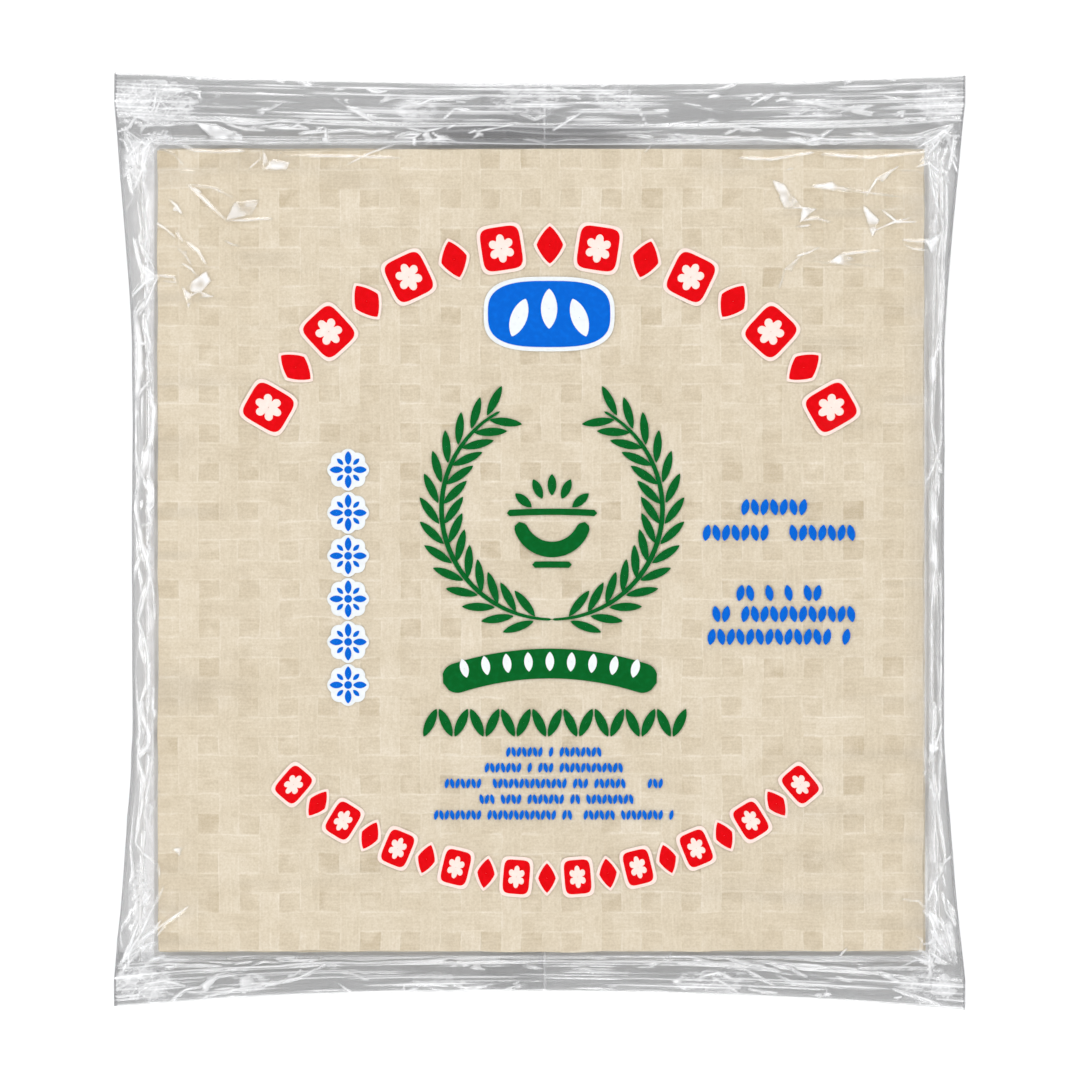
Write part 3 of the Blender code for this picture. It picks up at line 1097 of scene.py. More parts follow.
    right_margin = [
        Crease(0.8, ((108.5, 109), (110.5, 101), (113.5, 91.5), (114, 88))),
        Crease(0.6, ((117, 116.5), (113.5, 108), (113.5, 91.5))), Crease(0.7, ((117.5, 116), (116.5, 109.5), (115.5, 105))),
        Facet(0.8, ((110.5, 104.5), (112.5, 100), (111.5, 101))),
        Crease(0.9, ((114, 88), (112.5, 79), (113, 68), (112.7, 59), (111.4, 49), (110.9, 41), (110.5, 34), (112.5, 23))),
        Crease(0.7, ((114, 87.5), (113.8, 77), (113.6, 66), (113.2, 54.5), (113.6, 41), (113.5, 30), (112.5, 23))),
        Crease(0.9, ((112.5, 23), (111.4, 12), (111.6, 5), (111.6, -2.5), (111.8, -8), (110.7, -19), (110.6, -45))),
        Crease(0.9, ((110.6, -45), (111.6, -46.7), (110.9, -58.5), (109.6, -63))),
        Crease(0.6, ((111.8, -8), (113.2, -11.5), (113.6, -22), (113.5, -40), (112.7, -48.5))),
        Crease(0.9, ((111.2, 52), (111.4, 45)), 0.25 * MM, 1.0 * MM, 0.8 * MM),
        Crease(1.0, ((111.4, 14), (111.7, 3)), 0.25 * MM, 1.0 * MM, 0.9 * MM),
        Crease(1.0, ((111.5, 0), (111.8, -8)), 0.25 * MM, 1.0 * MM, 0.8 * MM),
        Facet(1.0, ((110, -57), (112.7, -58.5), (109.6, -62.6))), Crease(0.7, ((111, -63), (112.5, -77), (114.5, -89.5))),
        Crease(0.9, ((114.5, -89.5), (114, -93), (108.5, -101.5))), Crease(0.9, ((108.5, -103), (113.5, -114))),
        Crease(0.9, ((108.5, -103), (113.5, -108), (116, -113))), Facet(0.7, ((111, -105), (113.5, -108), (112.5, -109.5))),
        Facet(0.9, ((105, -117), (106, -117), (111.5, -120), (110, -120))),
        Facet(0.6, ((108.5, -113), (111.5, -111.5), (113.5, -114))), Crease(0.6, ((115, -101.5), (117.5, -109))),
    ]
    far_end = [
        Crease(0.8, ((-113.5, 117.5), (-105.5, 117.5), (-97, 118))),
        Facet(0.9, ((-96.5, 118), (-92, 117.5), (-84.5, 114.5), (-84, 112.5), (-93, 114.5))),
        Crease(0.7, ((-103.5, 113), (-90.5, 113), (-78, 112), (-59, 112.5))), Facet(0.9, ((-60.5, 116), (-59.5, 112.5), (-61, 113))),
        Crease(0.8, ((-40.5, 114), (-37, 115), (-34, 115), (-35.5, 114), (-40.5, 114))), Crease(0.8, ((-35.5, 114), (-35, 110.5))),
        Facet(0.9, ((-18.5, 114), (-17, 116), (-16, 114.5))), Facet(0.8, ((-33, 115), (-31.5, 116), (-30.5, 113), (-32, 112))),
        Crease(0.8, ((-38, 124.5), (-34, 123.5), (-30.5, 125), (-17, 125.5))),
        Crease(0.7, ((70.5, 115.5), (81.5, 113.5), (94, 113.5), (105.5, 114), (117, 117.5))),
        Facet(0.9, ((70.5, 113.5), (73.5, 114), (78.5, 111.5), (76, 111))),
        Facet(0.8, ((72, 124), (77, 124.5), (95, 121), (96, 119.5), (84, 122))),
    ]
    near_end = [
        Crease(0.8, ((-119, -121), (-105, -119.5), (-89, -120))), Crease(0.7, ((-88.5, -118), (-79.5, -116.5))),
        Crease(0.8, ((-94.5, -128.5), (-68, -123.5), (-61, -120))), Facet(0.8, ((-95.5, -125.5), (-91, -122.5), (-94.5, -128.5))),
        Facet(0.8, ((-84.5, -123.5), (-82, -122.5), (-78.5, -126), (-84, -127.5))),
        Crease(0.8, ((17, -117.5), (42, -117.5), (49.5, -119))), Crease(0.8, ((54, -118), (71, -122.5))),
        Crease(0.7, ((58, -121), (66.5, -125.5))), Crease(0.8, ((60, -118.5), (90, -121))),
        Facet(0.9, ((38, -124.5), (40.5, -123), (41.5, -126.5))), Facet(0.8, ((54, -118), (60, -118.5), (61.5, -120), (56.5, -119.5))),
        Crease(0.8, ((67, -122.5), (72.5, -125), (77, -125.5))), Crease(0.7, ((90, -120.5), (111, -120.5))),
        Crease(0.6, ((95.5, -121.5), (99.5, -122.5), (108.5, -124))), Crease(0.8, ((100, -126.5), (109, -129.5), (113.5, -131))),
        Facet(0.9, ((96.5, -122.5), (99, -122.5), (101.5, -124.5), (99.5, -124.5))),
    ]
    fans = (star((117, 117.5), 6, 16, 215, 30, 53) + star((-118, -119), 4, 18, 50, 40, 54)
            + star((-118, 117), 4, 16, -55, 50, 55) + star((117.5, -120), 4, 16, 120, 50, 57))
    return over_papers_left + over_papers_right + left_margin + right_margin + far_end + near_end + fans


class Edge(Enum):
    """The four edges of the pack where the two plies meet."""

    LEFT = "left"
    RIGHT = "right"
    NEAR = "near"
    FAR = "far"


@dataclass(frozen=True)
class FilmBag:
    """The film tube: a front panel, a back panel, two folded sides, two crimped ends and a back seam.

    Attributes:
        film: The plies' heights.
        panel_step: Grid step of the front panel, which is finer at both ends, where the folds are.
        margin_step: Grid step across the sides and ends.
        side_step: Grid step along the sides.
        end_step: Grid step along the ends.
    """

    film: Film
    panel_step: float = 0.95 * MM
    margin_step: float = 0.25 * MM
    side_step: float = 0.42 * MM
    end_step: float = 0.52 * MM

    def plateau(self) -> tuple[float, float, float, float]:
        """Left, right, near and far edge of the level film over the stack."""
        left, right, near, far = self.film.form.stack_box
        shoulder = self.film.form.shoulder
        return left - shoulder, right + shoulder, near - shoulder, far + shoulder

    def piece(self, name: str, x: Array, y: Array, layers: Array, material: bpy.types.Material,
              replaces: bool = False) -> None:
        """Makes a film piece and hands it over.

        Args:
            name: Its name.
            x: Places across, as a grid.
            y: Places along, as a grid.
            layers: Height and whiteness at each place.
            material: Its finish.
            replaces: Whether it stands for the plain solid of the bag.
        """
        points = np.stack([x, y, layers[0]], axis=-1).reshape(-1, 3)
        tags = {"slack": self.film.slack(x, y), "milk_and_glint": layers[1], "painted_shade": self.film.painted_shade(x, y)}
        hand_over(make_piece(name, points, grid_faces(*x.shape), material, None, tags), "clear_film", replaces)

    def panels(self, material: bpy.types.Material) -> None:
        """The level front panel in three strips, and the level back panel: a ply over rectangular grids."""
        left, right, near, far = self.plateau()
        fine = 0.36 * MM
        for name, low, high, step in (("film_front", -82 * MM, 64 * MM, self.panel_step),
                                      ("film_front_far", 64 * MM, far, fine),
                                      ("film_front_near", near, -82 * MM, 1.3 * fine)):
            x, y = np.meshgrid(spread(left, right, step), spread(low, high, step))
            self.piece(name, x, y, self.film.front(x, y), material, name == "film_front")
        x, y = np.meshgrid(spread(right, left, 2 * MM), spread(near, far, 2 * MM))
        self.piece("film_back", x, y, self.film.back(x, y), material)

    def folded(self, edge: Edge, material: bpy.types.Material) -> None:
        """A side or an end: one sheet from the front panel out to the edge and back under to the back panel.

        The first parameter runs along the edge and the second out over the front ply, from 0 to 1, and
        back in under the back ply, from 1 to 0. Steps shrink towards the edge, where the plies turn.
        """
        form = self.film.form
        left, right, near, far = self.plateau()
        sideways = edge in (Edge.LEFT, Edge.RIGHT)
        width = 13 * MM if sideways else 24 * MM
        count = math.ceil(width / self.margin_step)
        even = np.linspace(0.0, 1.0, count)
        out = np.concatenate([even[:-1], [1 - 0.5 / count, 1 - 0.25 / count, 1 - 0.08 / count, 1.0]])
        share = np.concatenate([out, out[-2::-1]])
        if sideways:
            y, share_grid = np.meshgrid(spread(near, far, self.side_step), share, indexing="ij")
            start = left if edge is Edge.LEFT else right
            fold = form.left(y) if edge is Edge.LEFT else form.right(y)
            x = start + (fold - start) * share_grid
        else:
            even_turn = spread(-1.0, 1.0, self.end_step / form.half_width)
            denser = even_turn + 0.12 * np.sin(np.pi * even_turn)
            turn, share_grid = np.meshgrid(denser, share, indexing="ij")
            guess = turn * form.half_width
            start = near if edge is Edge.NEAR else far
            cut = form.near(guess) if edge is Edge.NEAR else form.far(guess)
            y = start + (cut - start) * share_grid
            x = np.where(turn < 0, -turn * form.left(y), turn * form.right(y))
        front = np.arange(len(share)) < len(out)
        layers = np.where(front, self.film.front(x, y), self.film.back(x, y))
        if edge in (Edge.RIGHT, Edge.NEAR):
            x, y, layers = x[::-1], y[::-1], layers[:, ::-1]
        self.piece(f"film_{edge.value}_{'side' if sideways else 'end'}", x, y, layers, material)

    def seam(self, material: bpy.types.Material) -> None:
        """The back seam: a narrow ribbed strip folded flat under the back ply, from end to end."""
        form = self.film.form
        low, high = SEAM_EDGES
        x, share = np.meshgrid(spread(low, high, 0.45 * MM), spread(0.0, 1.0, 0.0022), indexing="ij")
        near, far = form.near(x) + 0.6 * MM, form.far(x) - 0.6 * MM
        y = near + (far - near) * share
        pressed = ease(-0.2, 0.5, SmoothNoise(61, 9 * MM, 7 * MM)(x, y))
        ribs = 0.12 * MM * np.abs(np.sin(np.pi * y / (1.1 * MM))) * pressed
        height, white = self.film.back(x, y)
        under = np.maximum(height - 0.10 * MM - ribs, 0.04 * MM)
        self.piece("film_back_seam", x, y, np.stack([under, 0.4 * white]), material)

    def build(self) -> None:
        """Builds and hands over every film piece."""
        self.panels(FilmFinish("tight_film", 0.965, 0.0, 0.0, (120.0, 160.0, 1.0), 0.10).material())
        side = FilmFinish("side_film", 0.930, 0.05, 0.05, (330.0, 40.0, 1.0), 0.14, 0.40).material()
        end = FilmFinish("end_film", 0.825, 0.05, 0.06, (32.0, 760.0, 1.0), 0.16, 0.40).material()
        for edge in Edge:
            self.folded(edge, side if edge in (Edge.LEFT, Edge.RIGHT) else end)
        self.seam(FilmFinish("seam_film", 0.985, 0.0, 0.02, (32.0, 760.0, 1.0), 0.14).material())


# ---------------------------------------------------------------- the papers


@dataclass(frozen=True)
class Weave:
    """Imprint of the drying mat on a sheet: level and upright strips that pass over and under each other.

    Attributes:
        columns: Count of upright strips.
        rows: Count of level strips.
    """

    columns: int = 38
    rows: int = 41

    def upright(self, column: Array, row: Array) -> Array:
        """True where an upright strip is on top.

        Odd columns pass over every even row, and over the odd rows whose number differs from the
        column's by a multiple of four.
        """
        odd_column, odd_row = column % 2 == 1, row % 2 == 1
        return odd_column & (~odd_row | ((column - row) % 4 == 0))

    def relief(self, u: Array, v: Array) -> Array:
        """Height at a place given in strips, in units of the lips' height.

        A strip on top has a lip along both long edges and a flat middle, and an even crossing of two
        level strips lies low. On a line between strips the highest neighbour counts.
        """
        highest = np.full(np.shape(u), -9.0)
        for step_u, step_v in ((-1, -1), (-1, 1), (1, -1), (1, 1)):
            u_here, v_here = u + 1e-4 * step_u, v + 1e-4 * step_v
            column, row = np.floor(u_here).astype(int), np.floor(v_here).astype(int)
            upright = self.upright(column, row)
            low = (column % 2 == 0) & (row % 2 == 0)
            across = np.where(upright, u_here - column, v_here - row)
            lip = np.clip(1.0 - (0.5 - np.abs(across - 0.5)) / 0.07, 0.0, 1.0)
            highest = np.maximum(highest, lip + 0.25 * upright - 0.9 * low)
        return highest


@dataclass(frozen=True)
class PaperStack:
    """The stack of rice papers.

    Attributes:
        form: The pack's form.
        finish: Finish of the papers.
        weave: The mat's imprint.
        count: Count of papers.
        lip: Height of the lips along the strips.
        thickness: Thickness of one paper.
    """

    form: PackForm
    finish: PaperFinish
    weave: Weave = Weave()
    count: int = 30
    lip: float = 0.08 * MM
    thickness: float = 0.26 * MM
    lowest: float = 0.36 * MM

    def wander(self, x: Array, y: Array) -> tuple[Array, Array]:
        """Shifts a place by the slight unevenness of the mat's strips."""
        return (x + 0.28 * MM * SmoothNoise(71, 60 * MM, 9 * MM)(x, y) + 0.22 * MM * SmoothNoise(73, 5 * MM, 90 * MM)(x, y),
                y + 0.28 * MM * SmoothNoise(72, 9 * MM, 60 * MM)(x, y) + 0.22 * MM * SmoothNoise(74, 90 * MM, 5 * MM)(x, y))

    def stations(self, strips: int) -> Array:
        """Grid places for a count of strips: on each edge line, beside it on both sides and between."""
        inside = np.array([0.0, 0.055, 0.13, 0.5, 0.87, 0.945])
        return np.append((np.arange(strips)[:, None] + inside).ravel(), strips)

    def top_sheet(self, material: bpy.types.Material) -> bpy.types.Object:
        """The uppermost paper, with its full relief: a grid that follows the mat's strips, with a skirt."""
        form, weave = self.form, self.weave
        u, v = np.meshgrid(self.stations(weave.columns), self.stations(weave.rows))
        x = (u / weave.columns - 0.5) * form.paper_width + form.stack_x - 0.15 * MM
        y = (v / weave.rows - 0.5) * form.paper_length + form.stack_y
        x, y = self.wander(x, y)
        uneven = 0.05 * MM * SmoothNoise(75, 31 * MM, 27 * MM)(x, y)
        z = form.stack_top - 0.14 * MM + uneven + self.lip * weave.relief(u, v)
        border = np.concatenate([np.arange(u.shape[1]), np.arange(1, u.shape[0]) * u.shape[1] + u.shape[1] - 1,
                                 u.shape[0] * u.shape[1] - 2 - np.arange(u.shape[1] - 1),
                                 np.arange(u.shape[0] - 2, 0, -1) * u.shape[1]])
        points = np.stack([x, y, z], axis=-1).reshape(-1, 3)
        uv = np.stack([u, v], axis=-1).reshape(-1, 2)
        skirt = points[border] - [0.0, 0.0, self.thickness]
        under = skirt * [0.97, 0.97, 1.0]
        total = len(points)
        size = len(border)
        ring = np.arange(size)
        onward = (ring + 1) % size
        side = np.stack([border[onward], border[ring], total + ring, total + onward], axis=-1)
        floor = np.stack([total + onward, total + ring, total + size + ring, total + size + onward], axis=-1)
        points = np.concatenate([points, skirt, under])
        uv = np.concatenate([uv, uv[border], uv[border]])
        faces = np.concatenate([grid_faces(*u.shape), side, floor])
        return make_piece("rice_paper_top", points, faces, material, uv)

    def lower_sheets(self, material: bpy.types.Material) -> bpy.types.Object:
        """The papers below: each a profile carried round its square outline, from the middle of its
        underside out to the wavy edge, up, and back in to the middle of its top."""
        form, weave = self.form, self.weave
        rng = np.random.default_rng(77)
        across, along = np.arange(0, weave.columns, 0.5), np.arange(0, weave.rows, 0.5)
        u = np.concatenate([across, np.full(len(along), float(weave.columns)), weave.columns - across, 0 * along])
        v = np.concatenate([0 * across, along, np.full(len(across), float(weave.rows)), weave.rows - along])
        size = len(u)
        number = np.arange(self.count - 1)
        pitch = (form.stack_top - 0.45 * MM - self.thickness - self.lowest) / (self.count - 2)
        shift_x = rng.normal(0.10, 0.16, len(number)) * MM
        shift_y = rng.normal(0.0, 0.16, len(number)) * MM
        turn = rng.normal(0.0, 0.0016, len(number))
        phase = rng.integers(0, 4, (2, len(number)))
        x = np.broadcast_to((u / weave.columns - 0.5) * form.paper_width, (len(number), size))
        y = np.broadcast_to((v / weave.rows - 0.5) * form.paper_length, (len(number), size))
        rough = SmoothNoise(78, 4 * MM, 3 * MM)(x + 300 * MM * number[:, None], y) * 0.18 * MM
        grow = 1.0 + rough / (0.5 * form.paper_width)
        x, y = x * grow, y * grow
        x, y = x - turn[:, None] * y, y + turn[:, None] * x
        wave = weave.relief(u[None] + phase[0][:, None] + 0.25, v[None] + phase[1][:, None] + 0.25)
        z = self.lowest + pitch * number[:, None] + 0.045 * MM * wave
        inward = np.array([0.0, 0.96, 1.0, 1.0, 0.96, 0.0])
        lift = np.array([0.0, 0.0, 0.0, 1.0, 1.0, 1.0])
        rest = (self.lowest + pitch * number)[:, None, None]
        height = rest + (z[:, None, :] - rest) * (inward > 0.5)[None, :, None] + lift[None, :, None] * self.thickness
        centre_x = (form.stack_x + shift_x)[:, None, None]
        centre_y = (form.stack_y + shift_y)[:, None, None]
        grid_x = centre_x + inward[None, :, None] * x[:, None, :]
        grid_y = centre_y + inward[None, :, None] * y[:, None, :]
        points = np.stack(np.broadcast_arrays(grid_x, grid_y, height), axis=-1)
        uv_one = np.stack([inward[:, None] * (u - 19)[None] + 19, inward[:, None] * (v - 20.5)[None] + 20.5], axis=-1)
        uv = np.broadcast_to(uv_one, (len(number), *uv_one.shape)) + phase.T[:, None, None, :]
        faces = many_grids(grid_faces(len(inward), size, wrap=True), len(inward) * size, len(number))
        return make_piece("rice_papers_below", points.reshape(-1, 3), faces[:, ::-1], material, uv.reshape(-1, 2))

    def build(self) -> None:
        """Builds and hands over the papers."""
        material = self.finish.material()
        hand_over(self.top_sheet(material), "rice_paper")
        hand_over(self.lower_sheets(material), "rice_paper")


# ---------------------------------------------------------------- the print


Outline = Callable[[Array], tuple[Array, Array]]


def rounded(power: float) -> Outline:
    """Outline of a superellipse: each coordinate is the circle's, raised to 2 / power, sign kept."""
    def trace(angle: Array) -> tuple[Array, Array]:
        """Unit outline at each angle."""
        c, s = np.cos(angle), np.sin(angle)
        return np.sign(c) * np.abs(c) ** (2 / power), np.sign(s) * np.abs(s) ** (2 / power)
    return trace


def grain(angle: Array) -> tuple[Array, Array]:
    """Outline of a rice grain with two pointed ends: the circle, thinned towards its ends."""
    s = np.sin(angle)
    return np.cos(angle), s * np.abs(s) ** 0.55


def scalloped(angle: Array) -> tuple[Array, Array]:
    """Outline of a disc whose edge swells eight times a turn."""
    radius = 0.88 + 0.12 * np.abs(np.cos(4 * angle))
    return radius * np.cos(angle), radius * np.sin(angle)


def blossom(angle: Array) -> tuple[Array, Array]:
    """Outline of a six-petalled flower: a radius that swells six times a turn."""
    radius = 0.50 + 0.50 * np.abs(np.cos(3 * angle)) ** 0.6
    return radius * np.cos(angle), radius * np.sin(angle)


@dataclass(frozen=True)
class Stamp:
    """Copies of one printed shape.

    Attributes:
        outline: Unit outline of the shape.
        centres: Middle of each copy in plan, one row of two numbers each.
        angles: Turn of each copy, in radians.
        sizes: Half length and half width of each copy.
        hole: Share of the shape that is left open in its middle.
        steps: Points round the outline.
        hole_outline: Unit outline of the opening, if it isn't the shape's own.
    """

    outline: Outline
    centres: Array
    angles: Array
    sizes: Array
    hole: float = 0.0
    steps: int = 28
    hole_outline: Outline | None = None

    def points(self, rings: int = 3) -> tuple[Array, Array]:
        """Plan points of every copy, ring by ring from the middle out, and their quads."""
        angle = np.linspace(0.0, 2 * np.pi, self.steps, endpoint=False)
        outer = np.stack(self.outline(angle))
        inner = np.stack((self.hole_outline or self.outline)(angle)) * max(self.hole, 0.02)
        out = np.linspace(0.0, 1.0, rings)[None, :, None]
        unit = inner[:, None, None, :] * (1.0 - out) + outer[:, None, None, :] * out
        local_x = unit[0] * self.sizes[:, 0, None, None]
        local_y = unit[1] * self.sizes[:, 1, None, None]
        c, s = np.cos(self.angles)[:, None, None], np.sin(self.angles)[:, None, None]
        x = self.centres[:, 0, None, None] + c * local_x - s * local_y
        y = self.centres[:, 1, None, None] + s * local_x + c * local_y
        faces = many_grids(grid_faces(rings, self.steps, wrap=True), rings * self.steps, len(self.centres))
        return np.stack([x, y], axis=-1).reshape(-1, 2), faces[:, ::-1]


@dataclass(frozen=True)
class Band:
    """A curved bar along an arc, with rounded ends.

    Attributes:
        centre: Middle of the arc's circle.
        radius: Radius of the arc.
        start: Angle of its first end, in degrees from +X.
        end: Angle of its other end, in degrees.
        half: Half width of the bar.
        taper: How much it thins towards both ends, from 0 to 1.
    """

    centre: tuple[float, float]
    radius: float
    start: float
    end: float
    half: float
    taper: float = 0.0

    def points(self) -> tuple[Array, Array]:
        """Plan points of the bar as a grid along and across, and its quads."""
        length = abs(math.radians(self.end - self.start)) * self.radius
        along = spread(0.0, 1.0, 0.8 * MM / length)
        turn = np.radians(self.start + (self.end - self.start) * along)[:, None]
        ends = np.clip(np.minimum(along, 1 - along) * length / self.half, 0.0, 1.0)
        width = self.half * np.sqrt(1 - (1 - ends) ** 2) * (1 - self.taper * np.abs(2 * along - 1) ** 2)
        offset = width[:, None] * np.linspace(-1.0, 1.0, 5)[None, :]
        x = self.centre[0] + (self.radius + offset) * np.cos(turn)
        y = self.centre[1] + (self.radius + offset) * np.sin(turn)
        faces = grid_faces(*x.shape)
        if self.end > self.start:
            faces = faces[:, ::-1]
        return np.stack([x, y], axis=-1).reshape(-1, 2), faces


Mark = Stamp | Band


@dataclass(frozen=True)
class PackPrint:
    """Plain printed shapes on the inner face of the front ply: garlands, blossoms, a wreath and rows of grains.

    Attributes:
        film: The plies' heights.
        under: How far the ink lies under the film.
    """

    film: Film
    under: float = 0.07 * MM

    def piece(self, name: str, marks: list[Mark], finish: InkFinish, slot: str, under: float) -> None:
        """Joins marks into one piece laid under the film, and hands it over."""
        plan, quads, start = [], [], 0
        for mark in marks:
            points, faces = mark.points()
            plan.append(points)
            quads.append(faces + start)
            start += len(points)
        flat = np.concatenate(plan)
        height = self.film.front(flat[:, 0], flat[:, 1])[0] - under
        made = make_piece(name, np.column_stack([flat, height]), np.concatenate(quads), finish.material())
        hand_over(made, slot)

    def garland(self, centre: tuple[float, float], radius: float, half_angle: float, count: int,
                top: bool) -> tuple[Array, Array]:
        """Places and turns of shapes set side by side along an arc, evenly spaced.

        Args:
            centre: Middle of the arc's circle.
            radius: Radius of the arc.
            half_angle: Half the angle that the row covers, in degrees.
            count: Count of shapes.
            top: Whether the arc is the top of its circle or the bottom.

        Returns:
            The middles and the turns.
        """
        middle = 90.0 if top else -90.0
        turn = np.radians(middle + np.linspace(half_angle, -half_angle, count))
        places = np.stack([centre[0] + radius * np.cos(turn), centre[1] + radius * np.sin(turn)], axis=-1)
        return places, turn

    def build(self) -> None:
        """Builds every printed piece."""
        red = InkFinish("red_ink", (0.72, 0.0, 0.003), (0.78, 0.0, 0.006))
        blue = InkFinish("blue_ink", (0.0, 0.130, 0.62), (0.0, 0.155, 0.68))
        green = InkFinish("green_ink", (0.0, 0.118, 0.017), (0.0, 0.145, 0.026))
        white = InkFinish("white_ink", (0.82, 0.85, 0.87), (0.78, 0.81, 0.82))
        blush = InkFinish("white_ink_over_red", (0.93, 0.76, 0.70), (0.95, 0.80, 0.74))
        reds: list[Mark] = []
        whites: list[Mark] = []
        blushes: list[Mark] = []
        blues: list[Mark] = []
        greens: list[Mark] = []
        rows = ((2.9 * MM, -8.1 * MM, 91.2 * MM, 60.0, 15, 6.1 * MM, 5.6 * MM, True),
                (2.1 * MM, 14.9 * MM, 109.5 * MM, 40.5, 19, 4.8 * MM, 3.7 * MM, False))
        for x, y, radius, half_angle, count, high, wide, top in rows:
            places, turns = self.garland((x, y), radius, half_angle, count, top)
            odd = np.arange(count) % 2 == 1
            tile = np.where(odd[:, None], [[0.86 * high, 0.66 * wide]], [[high, wide]])
            for chosen, outline, hole in ((~odd, rounded(5.0), 0.66), (odd, rounded(1.25), 0.0)):
                reds.append(Stamp(outline, places[chosen], turns[chosen], tile[chosen], hole, 56, blossom))
                blushes.append(Stamp(outline, places[chosen], turns[chosen], tile[chosen] + 0.9 * MM, 0.0, 56))
        column = np.stack([np.full(6, -53.7 * MM), np.linspace(20.0, -40.4, 6) * MM], axis=-1)
        whites.append(Stamp(scalloped, column, np.zeros(6), np.full((6, 2), 5.9 * MM), 0.0, 96))
        blues.append(Stamp(rounded(2.0), column, np.zeros(6), np.full((6, 2), 1.1 * MM), 0.0, 20))
        for petal in range(8):
            turn = petal * np.pi / 4
            reach, size = ((3.3, (1.9, 0.95)), (3.2, (1.2, 0.6)))[petal % 2]
            heads = column + reach * MM * np.array([[math.cos(turn), math.sin(turn)]])
            blues.append(Stamp(grain, heads, np.full(6, turn), np.tile([size], (6, 1)) * MM, 0.0, 20))
        badge = np.array([[2.7 * MM, 63.7 * MM]])
        blues.append(Stamp(rounded(3.0), badge, np.zeros(1), np.array([[17.2, 9.3]]) * MM, 0.0, 64))
        whites.append(Stamp(rounded(3.0), badge, np.zeros(1), np.array([[18.4, 10.5]]) * MM, 0.0, 64))
        greens.extend(self.wreath())
        blues.extend(self.rows_of_grains())
        self.piece("print_white", whites, white, "white_ink", 2.0 * self.under)
        self.piece("print_white_garland", blushes, blush, "white_ink", 2.0 * self.under)
        self.piece("print_red", reds, red, "red_ink", self.under)
        self.piece("print_blue", blues, blue, "blue_ink", self.under)
        self.piece("print_green", greens, green, "green_ink", self.under)
        badge_grains = badge + np.array([[-8.5, -1.0], [0.0, 1.5], [8.5, -1.0]]) * MM
        lights: list[Mark] = [Stamp(grain, badge_grains, np.radians([70.0, 90.0, 110.0]), np.tile([[5.6, 2.3]], (3, 1)) * MM)]
        sash = np.stack([2.9 + np.linspace(-24, 24, 9), np.full(9, -34.6)], axis=-1) * MM
        sash[:, 1] += 3.0 * MM * np.cos(np.linspace(-1.2, 1.2, 9)) - 2.2 * MM
        lights.append(Stamp(grain, sash, np.radians(np.linspace(75, 105, 9)[::-1]), np.tile([[2.7, 1.2]], (9, 1)) * MM))
        self.piece("print_white_marks", lights, white, "white_ink", 0.5 * self.under)

    def wreath(self) -> list[Mark]:
        """Two ears of rice bent into a wreath round a plain bowl, over a sash and a row of leaves."""
        marks: list[Mark] = []
        centre = (3.5 * MM, 9.0 * MM)
        for side in (-1, 1):
            start, end = -90.0, -90.0 + side * 152.0
            marks.append(Band(centre, 31.0 * MM, start, end, 0.70 * MM, 0.5))
            count = 14
            turn = np.radians(np.linspace(start + side * 16.0, end, count))
            for out in (-1, 1):
                lean = turn + side * (np.pi / 2 - out * 0.62)
                distance = 31.0 * MM + out * 3.4 * MM
                places = np.stack([centre[0] + distance * np.cos(turn), centre[1] + distance * np.sin(turn)], axis=-1)
                marks.append(Stamp(grain, places, lean, np.tile([[4.6, 1.2]], (count, 1)) * MM, 0.0, 20))
        bowl_x, bowl_y = centre[0], centre[1] - 3.0 * MM
        bowl = np.array([[bowl_x, bowl_y]])
        marks.append(Band((bowl_x, bowl_y + 1.0 * MM), 9.4 * MM, -170.0, -10.0, 2.2 * MM, 0.2))
        marks.append(Band((bowl_x, bowl_y - 200 * MM), 202.2 * MM, 93.6, 86.4, 0.9 * MM))
        marks.append(Band((bowl_x, bowl_y - 212.6 * MM), 200 * MM, 91.6, 88.4, 0.9 * MM))
        heap = bowl + np.stack([np.linspace(-8, 8, 5), [5.4, 8.6, 9.8, 8.6, 5.4]], axis=-1) * MM
        marks.append(Stamp(grain, heap, np.radians([140, 115, 90, 65, 40]), np.tile([[3.0, 1.25]], (5, 1)) * MM, 0.0, 20))
        marks.append(Band((2.9 * MM, -120.0 * MM), 85.6 * MM, 110.5, 69.5, 4.2 * MM))
        leaves = np.stack([4.3 + np.linspace(-35, 35, 17), np.full(17, -51.0)], axis=-1) * MM
        lean = np.where(np.arange(17) % 2 == 0, np.radians(65.0), np.radians(115.0))
        marks.append(Stamp(grain, leaves, lean, np.tile([[4.3, 1.35]], (17, 1)) * MM, 0.0, 20))
        return marks

    def rows_of_grains(self) -> list[Mark]:
        """Rows of small grain marks: five fine rows under the leaves and five larger ones at the right."""
        rng = np.random.default_rng(81)
        rows = [(4.0, -59.2 - 4.42 * row, width, 0.62, 1.45, 1.50) for row, width in enumerate((28, 40, 62, 46, 68))]
        rows += [(67.2, y, width, 1.15, 2.35, 2.7)
                 for y, width in ((9.5, 24), (2.3, 45), (-14.6, 26), (-20.5, 44), (-26.9, 41))]
        marks: list[Mark] = []
        for middle, height, width, half_wide, half_high, pitch in rows:
            count = int(width / pitch)
            keep = rng.random(count) > 0.12
            places = np.stack([middle + (np.arange(count) - (count - 1) / 2) * pitch, np.full(count, height)], axis=-1)
            lean = np.radians(np.where(np.arange(count) % 2 == 0, 78.0, 102.0))
            sizes = np.tile([[half_high, half_wide]], (count, 1))
            marks.append(Stamp(grain, places[keep] * MM, lean[keep], sizes[keep] * MM, 0.0, 12))
        return marks


# ---------------------------------------------------------------- the studio


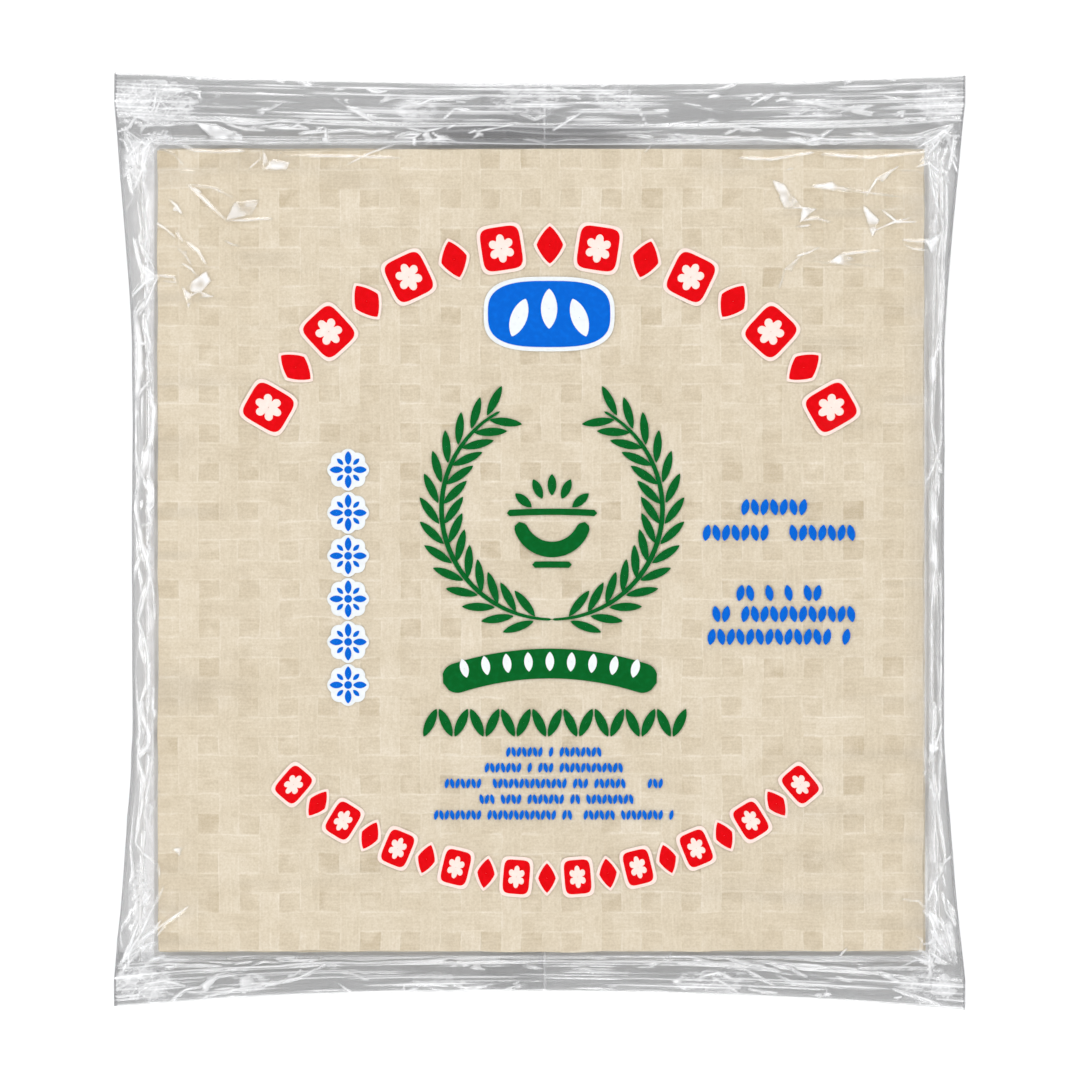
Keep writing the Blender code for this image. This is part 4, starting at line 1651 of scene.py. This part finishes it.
@dataclass(frozen=True)
class Softbox:
    """A rectangular studio lamp.

    Attributes:
        azimuth: Direction it stands in, in degrees from +X.
        lean: Its angle from straight above the pack, in degrees.
        width: Its width.
        height: Its height.
        radiance: How bright its face is.
    """

    azimuth: float
    lean: float
    width: float
    height: float
    radiance: float

    def build(self, number: int, distance: float) -> None:
        """Stands the lamp at a distance, facing the pack."""
        lamp = bpy.data.lights.new(f"softbox_{number}", "AREA")
        lamp.shape = "RECTANGLE"
        lamp.size = self.width
        lamp.size_y = self.height
        lamp.energy = self.radiance * self.width * self.height * math.pi
        holder = bpy.data.objects.new(lamp.name, lamp)
        lean, azimuth = math.radians(self.lean), math.radians(self.azimuth)
        holder.location = (distance * math.sin(lean) * math.cos(azimuth),
                           distance * math.sin(lean) * math.sin(azimuth), distance * math.cos(lean))
        holder.rotation_euler = (lean, 0.0, azimuth + math.pi / 2)
        bpy.context.scene.collection.objects.link(holder)


@dataclass(frozen=True)
class Studio:
    """Table, lamps, sky and camera.

    Attributes:
        view_width: Width of the view at the height of the film.
        camera_height: Height of the camera.
        centre: Where the camera looks, in plan.
    """

    view_width: float = 303.05 * MM
    camera_height: float = 1.5
    centre: tuple[float, float] = (0.14 * MM, 0.28 * MM)

    def table(self) -> None:
        """A wide plain table top under the pack."""
        x, y = np.meshgrid(spread(-3.0, 3.0, 1.0), spread(-3.0, 3.0, 1.0))
        points = np.stack([x, y, 0 * x - 0.2 * MM], axis=-1).reshape(-1, 3)
        table = make_piece("table", points, grid_faces(*x.shape), TableFinish().material())

    def lamps(self) -> None:
        """Softboxes on four sides and a soft sky that is dimmest overhead."""
        boxes = (Softbox(90, 42, 0.44, 0.58, 5.1), Softbox(-90, 44, 0.44, 0.54, 4.9),
                 Softbox(180, 42, 0.44, 0.58, 5.2), Softbox(0, 44, 0.44, 0.54, 4.8))
        for number, box in enumerate(boxes):
            box.build(number, 1.0)
        world = bpy.data.worlds.new("studio_sky")
        world.use_nodes = True
        tree = world.node_tree
        sky = tree.nodes["Background"]
        sky.inputs["Color"].default_value = (0.96, 0.98, 1.0, 1.0)
        split = tree.nodes.new("ShaderNodeSeparateXYZ")
        fade = tree.nodes.new("ShaderNodeMapRange")
        for socket, number in (("From Min", 0.35), ("From Max", 1.0), ("To Min", 0.55), ("To Max", 0.10)):
            fade.inputs[socket].default_value = number
        tree.links.new(tree.nodes.new("ShaderNodeTexCoord").outputs["Generated"], split.inputs[0])
        tree.links.new(split.outputs["Z"], fade.inputs["Value"])
        tree.links.new(fade.outputs[0], sky.inputs["Strength"])
        bpy.context.scene.world = world

    def camera(self) -> None:
        """A long lens straight above the pack."""
        lens = bpy.data.cameras.new("camera")
        camera = bpy.data.objects.new("camera", lens)
        film_height = CAD_BOUNDS[1][2]
        lens.lens = lens.sensor_width * (self.camera_height - film_height) / self.view_width
        lens.clip_end = 20.0
        camera.location = (*self.centre, self.camera_height)
        bpy.context.scene.collection.objects.link(camera)
        bpy.context.scene.camera = camera
        bpy.context.scene.view_settings.view_transform = "Standard"

    def build(self) -> None:
        """Builds the studio."""
        self.table()
        self.lamps()
        self.camera()


# ---------------------------------------------------------------- the whole


def main() -> None:
    """Builds the papers, the print, the film and the studio."""
    logging.basicConfig(level=logging.INFO, format="%(name)s: %(message)s")
    low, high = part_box(BAG_NODE)
    form = PackForm(half_width=(high.x - low.x) / 2, half_length=(high.y - low.y) / 2, top=high.z)
    film = Film(form)
    PaperStack(form, PaperFinish("rice_paper")).build()
    PackPrint(film).build()
    FilmBag(film).build()
    Studio().build()


if __name__ == "__main__":
    main()
